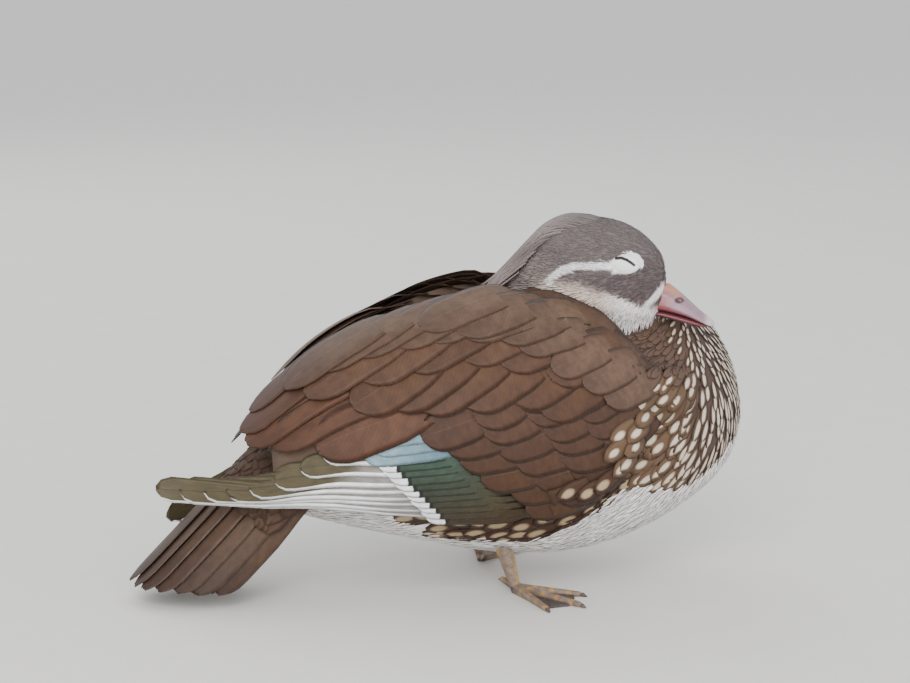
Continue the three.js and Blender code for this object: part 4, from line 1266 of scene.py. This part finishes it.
# %% Roof of the tail
TAIL_ROOT = np.array([-104.0, 0.0, 85.0])
TAIL_TIP = np.array([-180.0, 0.0, 9.0])
TAIL_HALF_WIDTH = 26
TAIL_DROP = 25                    # how far the outermost feathers hang below the middle ones
TAIL_GRADUATION = 26              # how much shorter they are
TAIL_PAIRS = 6
TAIL_ROWS = 11
TAIL_BARE = 0.2                   # share of the length where no vane shows
TAIL_FEATHER_HALF = 7.6
TAIL_TILT = 5                     # degrees, so that each feather lies over the next one out
MIDDLE_STEP = 1.3                 # the left middle feather lies on the right one
tail_length = float(np.linalg.norm(TAIL_ROOT - TAIL_TIP))
tail_slope = math.atan2(TAIL_ROOT[2] - TAIL_TIP[2], TAIL_ROOT[0] - TAIL_TIP[0])


def on_tail(roll, along, lift):
    """Place on the tail's roof and its normal: roll from the ridge, distance from the root, height."""
    out = np.stack([0 * roll, np.sin(roll), np.cos(roll)], -1)
    at = np.stack([-along, TAIL_HALF_WIDTH * np.sin(roll), -TAIL_DROP * (1 - np.cos(roll))], -1)
    at = at + out * lift[..., None]
    c, s = math.cos(tail_slope), math.sin(tail_slope)

    def turned(v):
        return np.stack([v[..., 0] * c - v[..., 2] * s, v[..., 1], v[..., 0] * s + v[..., 2] * c], -1)

    return turned(at) + TAIL_ROOT, turned(out)


# %% Tail feathers
paths, outs, tilts, lengths = [], [], [], []
for pair in range(TAIL_PAIRS):
    k = (pair + 0.5) / (TAIL_PAIRS - 0.42)
    start, end = tail_length * TAIL_BARE, tail_length - TAIL_GRADUATION * k ** 1.6
    for side in (RIGHT, LEFT):
        lift = np.full(TAIL_ROWS, MIDDLE_STEP if pair == 0 and side == LEFT else 0.0)
        along = start + (end - start) * row_steps(TAIL_ROWS)
        path, out = on_tail(np.full(TAIL_ROWS, side * k * np.pi / 2), along, lift)
        paths.append(path)
        outs.append(out)
        tilts.append(-side * math.tan(math.radians(TAIL_TILT)))
        lengths.append(end - start)
count = len(paths)
tail_wide = outline(np.array(lengths), np.full(count, TAIL_FEATHER_HALF), TAIL_ROWS,
                    root=0.7, tip=0.05, reach=1.6)
feathers("tail_feathers", np.array(paths), np.array(outs), tail_wide, tail_vane,
         np.tile(linear("#5a463a"), (count, 1)), None, None, draw.random(count), thick=0.4, columns=9,
         under=(0.6, 0.0, -0.6), camber=90.0, taper=0.9, tilt=np.array(tilts),
         jag=draw.normal(0, 0.7, (count, 9)), replaced=("tail",))
print("tail feathers", count)


# %% Tail coverts
def tail_coverts(name, rows, per_row, *, rolls, starts, length, half, lift, tones, inside=False):
    """Short soft feathers over or under the tail's root, from one roll and start to the other."""
    paths, outs, shades = [], [], []
    for row in range(rows):
        start = starts[0] + (starts[1] - starts[0]) * row / max(rows - 1, 1)
        for i in range(per_row):
            roll = rolls[0] + (rolls[1] - rolls[0]) * (i + 0.5 * (row % 2)) / (per_row - 0.5)
            along = np.linspace(start, start + length * draw.uniform(0.9, 1.1), CONTOUR_ROWS)
            path, out = on_tail(np.full(CONTOUR_ROWS, roll), along, np.linspace(*lift, CONTOUR_ROWS))
            paths.append(path)
            outs.append(-out if inside else out)
            shades.append(blend(linear(tones[0]), linear(tones[1]), draw.random()))
    count = len(paths)
    wide = outline(np.full(count, length), np.full(count, half), CONTOUR_ROWS)
    feathers(name, np.array(paths), np.array(outs), wide, contour_plumage,
             np.array(shades), None, None, draw.random(count), thick=0.25, camber=60.0, taper=0.9,
             jag=draw.normal(0, 0.6, (count, 5)))
    print(name, count)


tail_coverts("upper_tail_coverts", 6, 17, rolls=(-1.45, 1.45), starts=(16, -8), length=30, half=4.6,
             lift=(0.0, 3.0), tones=("#453328", "#4c392e"))
tail_coverts("under_tail_coverts", 5, 11, rolls=(-1.6, 1.6), starts=(38, 0), length=20, half=4.6,
             lift=(-5.0, -2.6), tones=("#dcdad8", "#c9c5c1"), inside=True)

# %% [markdown]
# ## Crest
# The female's crest is short. Asleep, with the head drawn in, its narrow feathers lie flat from the
# crown over the nape and close the step between head and back.

# %% Crest feathers
# Height of crown and nape in the head's frame, and how round they are across
CREST_LINE = through([
    (4, 24.2), (0, 24.6), (-8, 25.2), (-17, 24.8), (-27, 20), (-36, 11), (-45, 1), (-54, -8), (-60, -11.5)])
CREST_ROUND = 15
CREST_ROWS = 7
CREST_STARTS = np.arange(-38, 2, 2.2)
CREST_ACROSS = 33
CREST_END = -60
CREST_FEATHER_HALF = 0.85


def crest_place(x, y, lift):
    slope = CREST_LINE(x + 0.5) - CREST_LINE(x - 0.5)
    out = unit(np.stack([-slope, y / CREST_ROUND, np.ones_like(x)], -1))
    here = np.stack([x, y, CREST_LINE(x) - y * y / (2 * CREST_ROUND)], -1) + out * lift[..., None]
    return HEAD_PLACE + head_vector(here), head_vector(out)


paths, outs, lengths, shades = [], [], [], []
t = np.linspace(0, 1, CREST_ROWS)
for start in CREST_STARTS:
    spread = 9.5 + 0.17 * -start
    for k in np.linspace(-1, 1, CREST_ACROSS):
        length = (21 - 4 * k * k) * draw.uniform(0.75, 1.2)
        x = start + draw.uniform(-1.5, 1.5) - length * t * 0.86
        x = np.maximum(x, CREST_END + draw.uniform(0, 4))
        y = (k + draw.uniform(-0.04, 0.04)) * spread * (1 - 0.15 * t)
        path, out = crest_place(x, y, -1.2 - 0.8 * k ** 4 + 1.3 * np.minimum(1, t * 1.5))
        paths.append(path)
        outs.append(out)
        lengths.append(length)
        shades.append(head_colour(to_head(path[CREST_ROWS // 2])) * draw.uniform(0.93, 1.07))
count = len(paths)
crest_wide = outline(np.array(lengths), np.full(count, CREST_FEATHER_HALF), CREST_ROWS, tip=0.08, reach=3)
feathers("crest_feathers", np.array(paths), np.array(outs), crest_wide, down_plumage,
         np.array(shades), None, None, draw.random(count), thick=0.16, columns=3, camber=12.0,
         replaced=("crest",))
print("crest feathers", count)

# %% [markdown]
# ## Bill, lids, feet and claws
# These are bare: horn on bill and claws, white skin on the closed lids, and scaly skin on the feet.
# Copies of the solids are remeshed finely and smoothed, which rounds their facets, and are painted
# point by point from where they lie: the bill turns from brick red at its base over mauve to a pale
# nail, and the webs are darker than the toes.

# %% Rounded copies of the bare parts
def rounded(names, new_name, *, voxel, passes):
    """Finely remeshed, smoothed copy that stands for these solids."""
    piece = copy_of(names, new_name)
    apply_modifier(piece, "REMESH", mode="VOXEL", voxel_size=voxel, use_smooth_shade=True)
    apply_modifier(piece, "SMOOTH", factor=0.5, iterations=passes)
    return piece


def painted(piece, shades, material, replaced):
    """Gives a piece its point colours and material, hangs it from the root and hides the solids it replaces.
    """
    store(piece.data, "Ground", "FLOAT_COLOR", shades)
    piece.data.materials.append(material)
    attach(piece, "root")
    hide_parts(*replaced)
    print(piece.name, len(piece.data.polygons), "faces")


def plain(tone, count):
    return np.tile(linear(tone), (count, 1))


# %% Materials of the bare parts
# Leathery skin over horn: satin, with a thin damp-looking coat
bill_horn = grained("bill_horn", roughness=0.38, scale=500, light=(0.3, 0.7, 0.92, 1.08),
                    strength=0.25, distance=0.0002, Coat_Weight=0.15)
# Thin white skin of the lids: dull and very finely wrinkled
lid_skin = grained("eyelid_skin", roughness=0.6, scale=1500, light=(0.3, 0.7, 0.95, 1.05),
                   strength=0.3, distance=0.0001)
# Scaly skin of the feet: scutes of about a millimetre, half matt, mottled
foot_skin = grained("scaled_foot_skin", roughness=0.5, scale=400, light=(0.3, 0.7, 0.78, 1.22),
                    strength=0.6, distance=0.0004, cells=900)
# Solid horn worn smooth by walking: the shiniest part of the foot
claw_horn = grained("claw_horn", roughness=0.35, scale=700, light=(0.3, 0.7, 0.85, 1.15),
                    strength=0.2, distance=0.0001)

# %% Bill
# In the head's side view: the bill's ridge and the line of its mouth, as heights
BILL_RIDGE = through([(21, -4.5), (31, -5.8), (36, -9.2), (42, -14.2), (48, -19.8), (55, -26)])
BILL_MOUTH = through([(21, -18.6), (25, -19.2), (41, -22.9), (50, -26.6), (56, -28.4)])
BILL_SUNK = 2.4                   # how far its base slides back under the face's plumage
BILL_SHUT = 0.8                   # how far the lower half rises to close the gap
NOSTRIL_PLACE = (38.5, -14.6)
NOSTRIL_HALF = (2.4, 1.4)

bill = rounded(("bill_upper", "bill_lower"), "bill", voxel=0.0004, passes=3)
bill_points = to_bird(positions(bill))
h = to_head(bill_points)
x, y, z = h[:, 0], np.abs(h[:, 1]), h[:, 2]
mouth = BILL_MOUTH(x)
up = np.clip((z - mouth) / np.maximum(BILL_RIDGE(x) - mouth, 1), 0, 1)
nostril = np.hypot((x - NOSTRIL_PLACE[0]) / NOSTRIL_HALF[0], (z - NOSTRIL_PLACE[1]) / NOSTRIL_HALF[1])
shades = plain("#955559", len(x))
for tone, share in [
        ("#8c717e", smooth(29, 38, x) * smooth(0.05, 0.35, up)),                        # mauve sides
        ("#ad7a5c", smooth(0.62, 0.9, up) * smooth(41, 36, x) * smooth(30, 33, x)),     # warm ridge
        ("#b9aeae", smooth(49.5, 52.5, x) * smooth(0.1, 0.4, up)),                      # pale nail
        ("#7d3f47", smooth(0.16, 0.04, up) * smooth(24, 30, x)),                        # cutting edge
        ("#6f3c43", smooth(0.9, -0.1, z - mouth)),                                      # lower half
        # the nostril's opening, dark with painted shade
        ("#4a2c2c", smooth(1.15, 0.8, nostril) * smooth(3.0, 4.0, y))]:                 # nostril
    shades = blend(shades, linear(tone), share)
painted(bill, shades, bill_horn, ("bill_upper", "bill_lower"))
head_tree = BVHTree.FromPolygons([tuple(to_bird(v.co)) for v in nodes["head"].data.vertices],
                                 [list(p.vertices) for p in nodes["head"].data.polygons])
near_head = np.array([head_tree.find_nearest(Vector(p))[3] for p in bill_points]) < 0.75
back = head_vector(np.array([-BILL_SUNK, 0.0, 0.0]))
shut = head_vector(np.array([0.0, 0.0, BILL_SHUT])) * smooth(0.2, -0.2, z - mouth)[:, None]
set_positions(bill, to_frame(bill_points + near_head[:, None] * back + shut))

# %% Closed lids
LID_SINK = 1.9                    # the rim of the lids runs in under the plumage
SLIT = [(9.6, 7.2), (12.2, 7.5), (14.8, 6.6), (17.0, 5.2), (18.2, 4.2)]
for side, label in SIDES:
    lid = rounded((f"eye_{label}",), f"eyelids_{label}", voxel=0.0003, passes=4)
    lid_points = to_bird(positions(lid))
    h = to_head(lid_points)
    inwards = head_vector(np.array([0.0, -side * LID_SINK, 0.0]))
    set_positions(lid, to_frame(lid_points + smooth(1.0, 1.2, lid_ring(h))[:, None] * inwards))
    # The slit where the lids meet is painted near black: painted shade of the crease
    gap = distance_to_line(h[:, 0], h[:, 2], SLIT)[0]
    shades = blend(plain("#f0eeee", len(h)), linear("#1d1614"), smooth(0.85, 0.5, gap))
    painted(lid, shades, lid_skin, (f"eye_{label}",))

# %% Feet and claws
FOOT_PLACE = np.array([-1.0, 30.0, 0.0])
TOE_TURNS = (29, 2, -24)          # degrees of the front toes from the foot's own direction
FOOT_TURN = 58                    # degrees that each foot points outwards
CLAWS = ("inner", "middle", "outer", "hind")
for side, label in SIDES:
    foot = rounded((f"foot_{label}", f"leg_{label}"), f"scaled_foot_{label}", voxel=0.0005, passes=3)
    q = to_bird(positions(foot)) - FOOT_PLACE * (1, side, 1)
    c, s = math.cos(math.radians(side * FOOT_TURN)), math.sin(math.radians(side * FOOT_TURN))
    ahead, aside = q[:, 0] * c + q[:, 1] * s, q[:, 1] * c - q[:, 0] * s
    reach = np.hypot(ahead, aside)
    angle = np.degrees(np.arctan2(aside, ahead))
    off_toe = np.min([np.abs(angle + side * t) for t in TOE_TURNS], 0) * np.radians(1) * reach
    webbed = smooth(1.6, 2.6, off_toe) * smooth(4, 2.5, q[:, 2])
    knuckle = smooth(0.35, 0.9, np.sin(reach * 0.75 + 0.6)) * (1 - webbed)
    shades = blend(plain("#7c6a5c", len(q)), linear("#a8834a"), 0.75 * knuckle)
    shades = blend(shades, linear("#463c39"), webbed)
    painted(foot, shades, foot_skin, (f"foot_{label}", f"leg_{label}"))
    names = tuple(f"claw_{toe}_{label}" for toe in CLAWS)
    claws = rounded(names, f"claws_{label}", voxel=0.00025, passes=2)
    painted(claws, plain("#4f4038", len(claws.data.vertices)), claw_horn, names)
